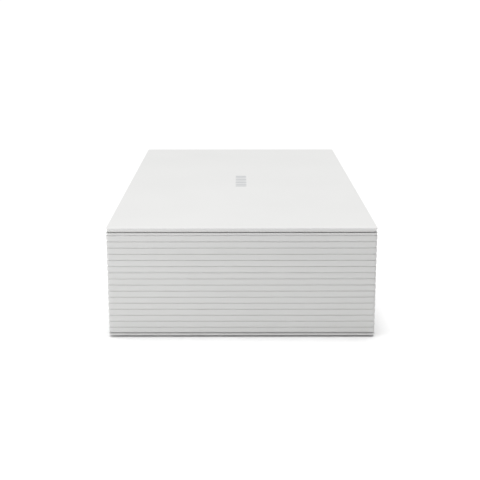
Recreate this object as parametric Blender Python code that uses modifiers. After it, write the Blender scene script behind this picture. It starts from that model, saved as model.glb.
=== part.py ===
"""Network attached storage: a one-drive storage box that lies on its broad side.

The ribbed front faces -Y, the sockets and the fan face +Y, and the feet stand on Z = 0.
Each named object is one piece of the real assembly.
"""

import math

import bmesh
import bpy
from mathutils import Matrix, Vector

MM = 0.001

# Casing
WIDTH = 160.0 * MM
DEPTH = 266.0 * MM
HEIGHT = 68.0 * MM
WALL = 2.4 * MM
CORNER_RADIUS = 1.8 * MM
BASE_THICKNESS = 1.8 * MM
BASE_TUCK = 1.3 * MM
LID_THICKNESS = 2.7 * MM
LID_EDGE = 0.4 * MM
SHADOW_GAP = 0.65 * MM
GAP = 0.3 * MM                 # clearance between two pieces that touch

# Ribs
SLAT_COUNT = 16
LIP_HEIGHT = 0.65 * MM
GROOVE_WIDTH = 1.05 * MM
GROOVE_DEPTH = 0.6 * MM

# Feet and case screws
FOOT_STAND = 0.8 * MM
FOOT_RADIUS = 7.0 * MM
FOOT_SEAT_DEPTH = 0.6 * MM
FOOT_INSET = 21.0 * MM
COLUMN_SIZE = 9.0 * MM
COLUMN_ROOT = 0.5 * MM         # how far a column runs into the wall beside it
PAD_HEIGHT = 2.4 * MM
CASE_SCREW_HEAD_RADIUS = 2.9 * MM
CASE_SCREW_HEAD_HEIGHT = 1.6 * MM
CASE_SCREW_RADIUS = 1.25 * MM
CASE_SCREW_LENGTH = 14.0 * MM
PEG_RADIUS = 2.0 * MM
PEG_LENGTH = 8.0 * MM

# Rear panel
PANEL_THICKNESS = 2.0 * MM
PANEL_OVERLAP = 2.6 * MM
APERTURE_SIDE = 9.0 * MM       # rear wall left standing at each side of the aperture
APERTURE_BELOW = 7.0 * MM
APERTURE_ABOVE = 7.0 * MM

# Fan
FAN_SIZE = 50.0 * MM
FAN_DEPTH = 15.0 * MM
FAN_HOLE_INSET = 5.0 * MM      # from the frame's edge to a screw hole's middle
FAN_RIM = 1.4 * MM             # frame left at the bore's narrowest
FAN_TIP_GAP = 0.8 * MM
FAN_HUB_RADIUS = 11.0 * MM
FAN_HUB_WALL = 1.4 * MM
FAN_BLADES = 7
FAN_BLADE_CHORD = 11.5 * MM
FAN_BLADE_PITCH = math.radians(38)
FAN_SPIDER = 2.0 * MM
FAN_SCREW_RADIUS = 1.8 * MM
FAN_SCREW_HEAD_RADIUS = 2.8 * MM
FAN_SCREW_HEAD_HEIGHT = 1.8 * MM
FAN_SCREW_LENGTH = 12.0 * MM
GRILLE_MARGIN = 3.6 * MM       # from the bore's edge in to the grille's edge
GRILLE_SLOT = 2.4 * MM
GRILLE_PITCH = 4.0 * MM

# Drive, to the common 3.5-inch outline
DRIVE_WIDTH = 101.6 * MM
DRIVE_LENGTH = 147.0 * MM
DRIVE_HEIGHT = 26.1 * MM
DRIVE_LID = 1.2 * MM
DRIVE_FRONT_SPACE = 8.0 * MM
DRIVE_CLEARANCE = 3.4 * MM     # air under the drive
DRIVE_CAVITY_FLOOR = 9.0 * MM
DRIVE_BOARD_RECESS = 4.0 * MM
DRIVE_HOLE_HEIGHT = 6.35 * MM
DRIVE_HOLE_REAR = 28.5 * MM
DRIVE_HOLE_PITCH = 101.6 * MM
DRIVE_HOLE_RADIUS = 2.1 * MM
PLATTER_RADIUS = 47.5 * MM
PLATTER_THICKNESS = 1.3 * MM
PLATTER_PITCH = 5.0 * MM
PLATTER_COUNT = 2
SPINDLE_RADIUS = 12.5 * MM
SPINDLE_FRONT = 51.0 * MM
ARM_PIVOT = (24.0 * MM, 51.0 * MM)   # from the spindle
ARM_LENGTH = 50.0 * MM
ARM_THICKNESS = 1.0 * MM
ARM_PARKED = math.radians(190.1)
ARM_TAIL = 21.0 * MM
CONNECTOR_WIDTH = 42.0 * MM
CONNECTOR_OFFSET = 19.0 * MM

# Cradle
SHEET = 1.2 * MM
CRADLE_SIDE_GAP = 2.2 * MM
CRADLE_WALL_HEIGHT = 20.0 * MM
CRADLE_LIFT = 4.8 * MM
CRADLE_HOLE_RADIUS = 4.3 * MM
GROMMET_RADIUS = 5.5 * MM
GROMMET_BORE = 2.2 * MM
DRIVE_SCREW_RADIUS = 1.85 * MM
DRIVE_SCREW_HEAD_RADIUS = 4.0 * MM
DRIVE_SCREW_HEAD_HEIGHT = 2.0 * MM

# Main board and what it carries
BOARD_THICKNESS = 1.6 * MM
BOARD_LIFT = 5.4 * MM
BOARD_WIDTH = 78.0 * MM
BOARD_DEPTH = 88.0 * MM
BOARD_FAN_GAP = 2.0 * MM
PIN_RADIUS = 1.3 * MM
LAN_SIZE = (16.0 * MM, 21.0 * MM, 13.5 * MM)
LAN_MOUTH = (12.0 * MM, 14.0 * MM, 8.4 * MM)
USB_SIZE = (13.6 * MM, 14.0 * MM, 6.2 * MM)
USB_WALL = 0.5 * MM
USB_TONGUE = 1.84 * MM
JACK_SIZE = (9.0 * MM, 14.0 * MM, 11.0 * MM)
JACK_BORE = 3.0 * MM
JACK_PIN = 1.05 * MM
HEAT_SINK_SIZE = 32.0 * MM
HEAT_SINK_BASE = 3.0 * MM
HEAT_SINK_HEIGHT = 16.0 * MM
HEAT_SINK_FINS = 7
CELL_RADIUS = 10.0 * MM
CELL_THICKNESS = 3.2 * MM

# Buttons and lamp
POWER_RADIUS = 6.5 * MM
POWER_TRAVEL = 1.2 * MM
POWER_FLANGE = 1.5 * MM
POWER_PROUD = 1.4 * MM
RESET_RADIUS = 1.2 * MM
RESET_TRAVEL = 0.5 * MM
PLUNGER_REACH = 1.4 * MM       # how far the power switch's plunger sits in its well at rest
RESET_REACH = 1.6 * MM
WELL_SPARE = 0.4 * MM          # depth left under a plunger at the end of its travel
LAMP_RADIUS = 1.5 * MM
LOCK_SLOT = (7.0 * MM, 3.0 * MM)
CROSS_SIZE = 3.2 * MM          # span of a screw's cross recess
VENT_SIZE = (34.0 * MM, 3.0 * MM)
VENT_PITCH = 8.0 * MM
VENT_SIDE = 26.0 * MM          # middle of each column of vents, from the casing's middle

# Levels and walls that everything else lines up with
CASE_BOTTOM = FOOT_STAND
BASE_TOP = CASE_BOTTOM + BASE_THICKNESS
LID_BOTTOM = HEIGHT - LID_THICKNESS
SLEEVE_BOTTOM = BASE_TOP + GAP
SLEEVE_TOP = LID_BOTTOM - SHADOW_GAP
FIRST_GROOVE = SLEEVE_TOP - LIP_HEIGHT - GROOVE_WIDTH / 2
LAST_GROOVE = BASE_TOP + GAP / 2
SLAT_PITCH = (FIRST_GROOVE - LAST_GROOVE) / SLAT_COUNT
HALF_WIDTH = WIDTH / 2
HALF_DEPTH = DEPTH / 2
INNER_X = HALF_WIDTH - WALL
INNER_Y = HALF_DEPTH - WALL
PAD_TOP = BASE_TOP + PAD_HEIGHT
PANEL_OUT = INNER_Y - GAP
PANEL_IN = PANEL_OUT - PANEL_THICKNESS
FAN_HOLE_PITCH = FAN_SIZE - 2 * FAN_HOLE_INSET
FAN_BORE_RADIUS = FAN_SIZE / 2 - FAN_RIM
GRILLE_RADIUS = FAN_BORE_RADIUS - GRILLE_MARGIN
GRILLE_SLOTS = int(2 * GRILLE_RADIUS / GRILLE_PITCH)
FAN_REAR = PANEL_IN - GAP
FAN_FRONT = FAN_REAR - FAN_DEPTH
FAN_X = -INNER_X + COLUMN_SIZE + 1.6 * MM + FAN_SIZE / 2
FAN_Z = (BASE_TOP + LID_BOTTOM) / 2
DRIVE_FRONT = -INNER_Y + DRIVE_FRONT_SPACE
DRIVE_REAR = DRIVE_FRONT + DRIVE_LENGTH
CRADLE_BOTTOM = BASE_TOP + CRADLE_LIFT
DRIVE_BOTTOM = CRADLE_BOTTOM + SHEET + DRIVE_CLEARANCE
DRIVE_TOP = DRIVE_BOTTOM + DRIVE_HEIGHT
CAVITY_FLOOR = DRIVE_BOTTOM + DRIVE_CAVITY_FLOOR
CASTING_TOP = DRIVE_TOP - DRIVE_LID - GAP
SPINDLE_Y = DRIVE_FRONT + SPINDLE_FRONT
BOARD_LEFT = FAN_X + FAN_SIZE / 2 + BOARD_FAN_GAP
BOARD_RIGHT = BOARD_LEFT + BOARD_WIDTH
BOARD_REAR = PANEL_IN - 0.8 * MM
BOARD_FRONT = BOARD_REAR - BOARD_DEPTH
BOARD_BOTTOM = BASE_TOP + BOARD_LIFT
BOARD_TOP = BOARD_BOTTOM + BOARD_THICKNESS
CHIP_BOTTOM = BOARD_TOP + GAP

TURN = {"X": (0.0, math.radians(90), 0.0), "Y": (math.radians(-90), 0.0, 0.0), "Z": (0.0, 0.0, 0.0)}
SIDES = {"left": -1, "right": 1}
ENDS = {"front": -1, "rear": 1}


# ---------------------------------------------------------------- scene and materials

def clear_scene():
    for obj in list(bpy.data.objects):
        bpy.data.objects.remove(obj, do_unlink=True)


def new_collection(name):
    collection = bpy.data.collections.new(name)
    bpy.context.scene.collection.children.link(collection)
    return collection


def finish(name, colour, roughness, metallic=0.0):
    material = bpy.data.materials.new(name)
    material.use_nodes = True
    shader = material.node_tree.nodes["Principled BSDF"]
    shader.inputs["Base Color"].default_value = (*colour, 1.0)
    shader.inputs["Roughness"].default_value = roughness
    shader.inputs["Metallic"].default_value = metallic
    return material


clear_scene()
PARTS = new_collection("network_attached_storage")
CUTTERS = new_collection("cutters")

WHITE = finish("white_abs", (0.78, 0.78, 0.77), 0.55)
BLACK = finish("black_plastic", (0.02, 0.02, 0.02), 0.5)
STEEL = finish("zinc_plated_steel", (0.62, 0.62, 0.60), 0.35, 1.0)
ALUMINIUM = finish("cast_aluminium", (0.55, 0.56, 0.57), 0.45, 1.0)
MIRROR = finish("polished_platter", (0.80, 0.80, 0.80), 0.08, 1.0)
RUBBER = finish("grey_rubber", (0.06, 0.06, 0.06), 0.85)
LAMINATE = finish("green_laminate", (0.02, 0.16, 0.06), 0.4)
CLEAR = finish("clear_acrylic", (0.85, 0.87, 0.88), 0.15)


# ---------------------------------------------------------------- shapes

def place(name, bm, location, material=None, turn="Z"):
    """Make an object of a bmesh: a piece if it has a material, otherwise a hidden tool."""
    mesh = bpy.data.meshes.new(name)
    bm.to_mesh(mesh)
    bm.free()
    obj = bpy.data.objects.new(name, mesh)
    obj.location = location
    obj.rotation_euler = TURN[turn]
    if material:
        mesh.materials.append(material)
        PARTS.objects.link(obj)
    else:
        CUTTERS.objects.link(obj)
        obj.hide_render = True
        obj.display_type = "WIRE"
    return obj


def around(middle, size):
    """The span of a given size about its middle."""
    return (middle - size / 2, middle + size / 2)


def add_box(bm, x, y, z):
    size = Vector((x[1] - x[0], y[1] - y[0], z[1] - z[0]))
    centre = Vector((sum(x) / 2, sum(y) / 2, sum(z) / 2))
    matrix = Matrix.Translation(centre) @ Matrix.Diagonal((*size, 1.0))
    return bmesh.ops.create_cube(bm, size=1.0, matrix=matrix)["verts"]


def block(name, x, y, z, material=None, corner=0.0, segments=3):
    """A box between three spans, with its upright edges rounded."""
    middle = Vector((sum(x) / 2, sum(y) / 2, sum(z) / 2))
    bm = bmesh.new()
    add_box(bm, *((span[0] - m, span[1] - m) for span, m in zip((x, y, z), middle)))
    if corner > 0:
        upright = [e for e in bm.edges if abs(e.verts[0].co.z - e.verts[1].co.z) > 1e-6]
        bmesh.ops.bevel(bm, geom=upright, offset=corner, segments=segments, profile=0.5, affect="EDGES")
    return place(name, bm, middle, material)


def boxes(name, spans):
    """A tool of several separate boxes."""
    bm = bmesh.new()
    for x, y, z in spans:
        add_box(bm, x, y, z)
    return place(name, bm, (0, 0, 0))


def rod(name, centre, radius, length, turn="Z", material=None, segments=24):
    bm = bmesh.new()
    bmesh.ops.create_cone(bm, cap_ends=True, segments=segments, radius1=radius, radius2=radius, depth=length)
    return place(name, bm, centre, material, turn)


def rods(name, centres, radius, length, turn="Z", segments=16):
    """A tool of several separate rods, all along one axis."""
    bm = bmesh.new()
    turned_axis = Matrix.Rotation(math.radians(90), 4, "Y") if turn == "X" else Matrix.Identity(4)
    if turn == "Y":
        turned_axis = Matrix.Rotation(math.radians(-90), 4, "X")
    for centre in centres:
        matrix = Matrix.Translation(centre) @ turned_axis
        bmesh.ops.create_cone(bm, cap_ends=True, segments=segments, radius1=radius, radius2=radius,
                              depth=length, matrix=matrix)
    return place(name, bm, (0, 0, 0))


def turned(name, profile, location, turn="Z", material=None, segments=24):
    """A turned shape: (radius, height) points from the top down the outer side."""
    bm = bmesh.new()
    verts = [bm.verts.new((radius, 0.0, height)) for radius, height in profile]
    if profile[0][0] > 0:
        verts.append(verts[0])
    for first, second in zip(verts, verts[1:]):
        bm.edges.new((first, second))
    obj = place(name, bm, location, material, turn)
    screw = obj.modifiers.new("turn", "SCREW")
    screw.steps = segments
    screw.render_steps = segments
    screw.use_merge_vertices = True
    screw.merge_threshold = 1e-6
    return obj


def plate(name, outline, z, location, material=None):
    """A flat outline given a thickness, as a filled curve made into a mesh."""
    curve = bpy.data.curves.new(name, "CURVE")
    curve.dimensions = "2D"
    curve.fill_mode = "BOTH"
    curve.extrude = (z[1] - z[0]) / 2
    spline = curve.splines.new("POLY")
    spline.points.add(len(outline) - 1)
    for point, (x, y) in zip(spline.points, outline):
        point.co = (x, y, 0.0, 1.0)
    spline.use_cyclic_u = True
    guide = bpy.data.objects.new(name + "_outline", curve)
    CUTTERS.objects.link(guide)
    bpy.context.view_layer.update()
    evaluated = guide.evaluated_get(bpy.context.evaluated_depsgraph_get())
    mesh = bpy.data.meshes.new_from_object(evaluated)
    bpy.data.objects.remove(guide)
    bm = bmesh.new()
    bm.from_mesh(mesh)
    bmesh.ops.remove_doubles(bm, verts=bm.verts, dist=1e-6)
    bmesh.ops.translate(bm, verts=bm.verts, vec=(0, 0, sum(z) / 2))
    return place(name, bm, location, material)


def combine(obj, tool, operation):
    modifier = obj.modifiers.new(tool.name, "BOOLEAN")
    modifier.operation = operation
    modifier.solver = "EXACT"
    modifier.object = tool


def cut(obj, *tools):
    for tool in tools:
        combine(obj, tool, "DIFFERENCE")


def fuse(obj, *tools):
    for tool in tools:
        combine(obj, tool, "UNION")


def lead(name, start, end, bend, radius, material):
    """A round cable that leaves and arrives straight along Y, with a smooth curve between."""
    curve = bpy.data.curves.new(name, "CURVE")
    curve.dimensions = "3D"
    curve.bevel_depth = radius
    curve.bevel_resolution = 1
    curve.use_fill_caps = True
    straight = Vector((0, 0.6 * MM, 0))
    a = start + math.copysign(1, bend[0]) * straight
    d = end - math.copysign(1, bend[1]) * straight
    b = a + Vector((0, bend[0], 0))
    c = d - Vector((0, bend[1], 0))
    steps = 10
    route = [start]
    for index in range(steps + 1):
        t = index / steps
        s = 1 - t
        route.append(a * s ** 3 + b * 3 * s * s * t + c * 3 * s * t * t + d * t ** 3)
    route.append(end)
    spline = curve.splines.new("POLY")
    spline.points.add(len(route) - 1)
    for point, place_on_route in zip(spline.points, route):
        point.co = (*place_on_route, 1.0)
    obj = bpy.data.objects.new(name, curve)
    curve.materials.append(material)
    PARTS.objects.link(obj)
    weld = obj.modifiers.new("weld", "WELD")
    weld.merge_threshold = 1e-6
    return obj


# ---------------------------------------------------------------- casing

def case_core(name, inset, z):
    """The casing's plan, drawn in by an inset, between two levels."""
    return block(name, (-HALF_WIDTH + inset, HALF_WIDTH - inset), (-HALF_DEPTH + inset, HALF_DEPTH - inset),
                 z, corner=CORNER_RADIUS - inset / 2)


def groove_rings():
    """Flat rings where the grooves run, all round the casing."""
    proud = 2 * MM
    levels = [FIRST_GROOVE - SLAT_PITCH * index for index in range(SLAT_COUNT + 1)]
    rings = boxes("groove_rings", [((-HALF_WIDTH - proud, HALF_WIDTH + proud),
                                    (-HALF_DEPTH - proud, HALF_DEPTH + proud),
                                    around(level, GROOVE_WIDTH)) for level in levels])
    cut(rings, case_core("groove_floor", GROOVE_DEPTH, (-proud, HEIGHT + proud)))
    return rings


def column_centres():
    """Middles of the four corner columns; the rear ones stand in front of the rear panel."""
    x = INNER_X - COLUMN_SIZE / 2
    front = -INNER_Y + COLUMN_SIZE / 2
    rear = PANEL_IN - GAP - COLUMN_SIZE / 2
    return {(end, side): (sign * x, y) for side, sign in SIDES.items()
            for end, y in (("front", front), ("rear", rear))}


def build_sleeve(grooves):
    span = (SLEEVE_BOTTOM, SLEEVE_TOP)
    sleeve = block("ribbed_sleeve", (-HALF_WIDTH, HALF_WIDTH), (-HALF_DEPTH, HALF_DEPTH), span,
                   WHITE, CORNER_RADIUS)
    through = (SLEEVE_BOTTOM - MM, LID_BOTTOM + MM)
    hollow = block("sleeve_hollow", (-INNER_X, INNER_X), (-INNER_Y, INNER_Y), through)
    aperture = block("rear_aperture", (-HALF_WIDTH + APERTURE_SIDE, HALF_WIDTH - APERTURE_SIDE),
                     (INNER_Y - MM, HALF_DEPTH + MM), (APERTURE_BELOW, HEIGHT - APERTURE_ABOVE))
    cut(sleeve, hollow, grooves, aperture)
    column_span = (PAD_TOP + GAP, LID_BOTTOM - GAP)
    columns = boxes("sleeve_columns", [
        (sorted((SIDES[side] * (INNER_X + COLUMN_ROOT), SIDES[side] * (INNER_X - COLUMN_SIZE))),
         column_depth(end, y), column_span) for (end, side), (x, y) in column_centres().items()])
    fuse(sleeve, columns)
    centres = column_centres().values()
    low = rods("column_pilots", [(x, y, column_span[0]) for x, y in centres],
               CASE_SCREW_RADIUS + GAP, 2 * CASE_SCREW_LENGTH, segments=12)
    high = rods("column_sockets", [(x, y, column_span[1]) for x, y in centres],
                PEG_RADIUS + GAP, 2 * (PEG_LENGTH + GAP), segments=12)
    cut(sleeve, low, high)


def column_depth(end, y):
    """A front column runs into the front wall; a rear one stops short of the rear panel."""
    if end == "front":
        return (-INNER_Y - COLUMN_ROOT, y + COLUMN_SIZE / 2)
    return around(y, COLUMN_SIZE)


def build_lid():
    lid = block("top_cover", (-HALF_WIDTH, HALF_WIDTH), (-HALF_DEPTH, HALF_DEPTH), (LID_BOTTOM, HEIGHT),
                WHITE, CORNER_RADIUS)
    edge = lid.modifiers.new("edge", "BEVEL")
    edge.width = LID_EDGE
    edge.segments = 2
    edge.limit_method = "ANGLE"
    edge.angle_limit = math.radians(60)
    pegs = rods("lid_pegs", [(x, y, LID_BOTTOM) for x, y in column_centres().values()],
                PEG_RADIUS, 2 * PEG_LENGTH, segments=12)
    cut(pegs, block("peg_trim", (-HALF_WIDTH, HALF_WIDTH), (-HALF_DEPTH, HALF_DEPTH),
                    (LID_BOTTOM + MM, HEIGHT + 2 * PEG_LENGTH)))
    fuse(lid, pegs)


def board_pins():
    """Places of the four pins that hold the main board."""
    inset = 3.2 * MM
    return [(BOARD_LEFT + inset, BOARD_FRONT + inset), (BOARD_RIGHT - inset, BOARD_FRONT + inset),
            (BOARD_RIGHT - inset, BOARD_REAR - 16.0 * MM), (BOARD_LEFT + 23.2 * MM, BOARD_REAR - 15.0 * MM)]


def cradle_pins():
    x = DRIVE_WIDTH / 2 - 8.0 * MM
    return [(sign * x, y) for sign in (-1, 1) for y in (DRIVE_FRONT + 12.0 * MM, DRIVE_REAR - 22.0 * MM)]


def foot_centres():
    return {(end, side): (sx * (HALF_WIDTH - FOOT_INSET), sy * (HALF_DEPTH - FOOT_INSET))
            for side, sx in SIDES.items() for end, sy in ENDS.items()}


def build_base(grooves):
    base = block("base_tray", (-HALF_WIDTH, HALF_WIDTH), (-HALF_DEPTH, HALF_DEPTH), (CASE_BOTTOM, BASE_TOP),
                 WHITE, CORNER_RADIUS)
    tuck = base.modifiers.new("tuck", "BEVEL")
    tuck.width = BASE_TUCK
    tuck.segments = 3
    tuck.limit_method = "WEIGHT"
    weights = base.data.attributes.new("bevel_weight_edge", "FLOAT", "EDGE")
    for edge in base.data.edges:
        low = all(base.data.vertices[index].co.z < 0 for index in edge.vertices)
        weights.data[edge.index].value = 1.0 if low else 0.0
    cut(base, grooves)
    inside = BASE_TOP - MM
    pads = boxes("column_pads", [(around(x, COLUMN_SIZE - 1.6 * MM), around(y, COLUMN_SIZE - 1.6 * MM),
                                  (inside, PAD_TOP)) for x, y in column_centres().values()])
    rim = INNER_X - GAP
    reach = HALF_DEPTH - 2 * COLUMN_SIZE
    rims = boxes("side_rims", [(sorted((sign * rim, sign * (rim - 1.6 * MM))), (-reach, reach),
                                (inside, BASE_TOP + 6.0 * MM)) for sign in (-1, 1)])
    posts = rods("board_posts", [(x, y, (inside + BOARD_BOTTOM - GAP) / 2) for x, y in board_pins()],
                 3.0 * MM, BOARD_BOTTOM - GAP - inside, segments=12)
    pins = rods("board_pins", [(x, y, BOARD_BOTTOM) for x, y in board_pins()], PIN_RADIUS,
                6.0 * MM, segments=12)
    supports = rods("cradle_posts", [(x, y, (inside + CRADLE_BOTTOM - GAP) / 2) for x, y in cradle_pins()],
                    4.0 * MM, CRADLE_BOTTOM - GAP - inside, segments=12)
    stakes = rods("cradle_stakes", [(x, y, CRADLE_BOTTOM) for x, y in cradle_pins()], 1.6 * MM,
                  5.6 * MM, segments=12)
    fuse(base, pads, rims, posts, pins, supports, stakes)
    seats = rods("foot_seats", [(x, y, CASE_BOTTOM) for x, y in foot_centres().values()],
                 FOOT_RADIUS + GAP, 2 * FOOT_SEAT_DEPTH, segments=24)
    heads = rods("screw_seats", [(x, y, CASE_BOTTOM) for x, y in column_centres().values()],
                 CASE_SCREW_HEAD_RADIUS + GAP, 2 * (CASE_SCREW_HEAD_HEIGHT + 2 * GAP), segments=16)
    shanks = rods("screw_passages", [(x, y, CASE_BOTTOM) for x, y in column_centres().values()],
                  CASE_SCREW_RADIUS + GAP, 4 * PAD_TOP, segments=12)
    vents = boxes("intake_slots", [(around(sign * VENT_SIDE, VENT_SIZE[0]),
                                    around(SPINDLE_Y + VENT_PITCH * index, VENT_SIZE[1]),
                                    (CASE_BOTTOM - MM, BASE_TOP + MM))
                                   for sign in (-1, 1) for index in range(-3, 7)])
    cut(base, seats, heads, shanks, vents)


def build_feet_and_screws():
    for (end, side), (x, y) in foot_centres().items():
        height = FOOT_STAND + FOOT_SEAT_DEPTH - GAP
        ring = FOOT_RADIUS
        turned(f"foot_{end}_{side}", [(0, height), (ring, height), (ring, 0.3 * MM), (ring - 0.5 * MM, 0),
                                      (0, 0)], (x, y, 0), "Z", RUBBER)
    for (end, side), (x, y) in column_centres().items():
        head = CASE_SCREW_HEAD_RADIUS
        under = CASE_SCREW_HEAD_HEIGHT
        screw = turned(f"case_screw_{end}_{side}",
                       [(0, CASE_SCREW_LENGTH), (CASE_SCREW_RADIUS * 0.4, CASE_SCREW_LENGTH),
                        (CASE_SCREW_RADIUS, CASE_SCREW_LENGTH - 1.5 * MM), (CASE_SCREW_RADIUS, under),
                        (head, under), (head, 0.4 * MM), (head - 0.4 * MM, 0), (0, 0)],
                       (x, y, CASE_BOTTOM + GAP), "Z", STEEL, 12)
        cut(screw, cross(f"case_drive_{end}_{side}", (x, y, CASE_BOTTOM + GAP), CROSS_SIZE, "Z"))


def cross(name, centre, size, turn):
    """The cross-shaped recess of a screw head, centred on the head's face."""
    bm = bmesh.new()
    half = size / 2
    bar = 0.35 * MM
    depth = 0.9 * MM
    add_box(bm, (-half, half), (-bar, bar), (-depth, depth))
    obj = place(name, bm, centre, None, turn)
    bm = bmesh.new()
    add_box(bm, (-bar, bar), (-half, half), (-depth, depth))
    fuse(obj, place(name + "_bar", bm, centre, None, turn))
    return obj


# ---------------------------------------------------------------- rear panel

def socket_places():
    """X of each socket's middle, counted from the board's left edge."""
    return {"lan": BOARD_LEFT + 12.0 * MM, "usb_left": BOARD_LEFT + 30.0 * MM,
            "usb_right": BOARD_LEFT + 46.0 * MM, "reset": BOARD_LEFT + 56.6 * MM,
            "jack": BOARD_LEFT + 68.0 * MM}


POWER_X = BOARD_LEFT + 67.0 * MM
POWER_Z = CHIP_BOTTOM + 33.0 * MM
LAMP_X = POWER_X - 15.0 * MM
LOCK_X = BOARD_LEFT + 14.0 * MM
LOCK_Z = CHIP_BOTTOM + 38.0 * MM
RESET_Z = CHIP_BOTTOM + 3.6 * MM
SWITCH_BOARD_REAR = PANEL_IN - 12.4 * MM


def socket_hole(x, size):
    return (around(x, size[0] + 2 * GAP), (PANEL_IN - MM, PANEL_OUT + MM),
            (CHIP_BOTTOM - GAP, CHIP_BOTTOM + size[2] + GAP))


def fan_holes():
    half = FAN_HOLE_PITCH / 2
    return {(height, side): (FAN_X + sx * half, FAN_Z + sz * half)
            for side, sx in SIDES.items() for height, sz in (("lower", -1), ("upper", 1))}


def build_panel():
    panel = block("rear_panel", (-HALF_WIDTH + APERTURE_SIDE - PANEL_OVERLAP,
                                 HALF_WIDTH - APERTURE_SIDE + PANEL_OVERLAP), (PANEL_IN, PANEL_OUT),
                  (APERTURE_BELOW - PANEL_OVERLAP, HEIGHT - APERTURE_ABOVE + PANEL_OVERLAP), WHITE)
    middle = (PANEL_IN + PANEL_OUT) / 2
    deep = 4 * PANEL_THICKNESS
    posts = rods("switch_posts", [(x, (SWITCH_BOARD_REAR + GAP + middle) / 2, z) for x, z in switch_posts()],
                 1.6 * MM, middle - SWITCH_BOARD_REAR - GAP, "Y", 10)
    fuse(panel, posts)
    places = socket_places()
    windows = boxes("socket_windows", [socket_hole(places["lan"], LAN_SIZE),
                                       socket_hole(places["usb_left"], USB_SIZE),
                                       socket_hole(places["usb_right"], USB_SIZE),
                                       socket_hole(places["jack"], JACK_SIZE),
                                       (around(LOCK_X, LOCK_SLOT[0]), (PANEL_IN - MM, PANEL_OUT + MM),
                                        around(LOCK_Z, LOCK_SLOT[1]))])
    grille = boxes("grille_slots", [(around(FAN_X, 2 * FAN_SIZE), around(middle, deep),
                                     around(FAN_Z + (index - (GRILLE_SLOTS - 1) / 2) * GRILLE_PITCH,
                                            GRILLE_SLOT)) for index in range(GRILLE_SLOTS)])
    combine(grille, rod("grille_outline", (FAN_X, middle, FAN_Z), GRILLE_RADIUS, 2 * deep, "Y",
                        segments=32), "INTERSECT")
    bolts = rods("fan_screw_holes", [(x, middle, z) for x, z in fan_holes().values()],
                 FAN_SCREW_RADIUS + GAP, deep, "Y", 12)
    power = rod("power_hole", (POWER_X, middle, POWER_Z), POWER_RADIUS + GAP, deep, "Y")
    pipe = rod("lamp_hole", (LAMP_X, middle, POWER_Z), LAMP_RADIUS + GAP, deep, "Y", segments=12)
    pin = rod("reset_hole", (places["reset"], middle, RESET_Z), RESET_RADIUS + GAP, deep, "Y", segments=12)
    cut(panel, windows, grille, bolts, power, pipe, pin)
    lock = block("lock_plate", around(LOCK_X, 20.0 * MM), (PANEL_IN - GAP - SHEET, PANEL_IN - GAP),
                 around(LOCK_Z, 14.0 * MM), STEEL)
    cut(lock, block("lock_slot", around(LOCK_X, LOCK_SLOT[0]), around(PANEL_IN, 8.0 * MM),
                    around(LOCK_Z, LOCK_SLOT[1])))


def switch_posts():
    """Two posts carry the switch board, left of the lamp and right of the power button."""
    return [(LAMP_X - 4.0 * MM, POWER_Z - 6.0 * MM), (POWER_X + 4.5 * MM, POWER_Z - 9.6 * MM)]


# ---------------------------------------------------------------- fan

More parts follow.
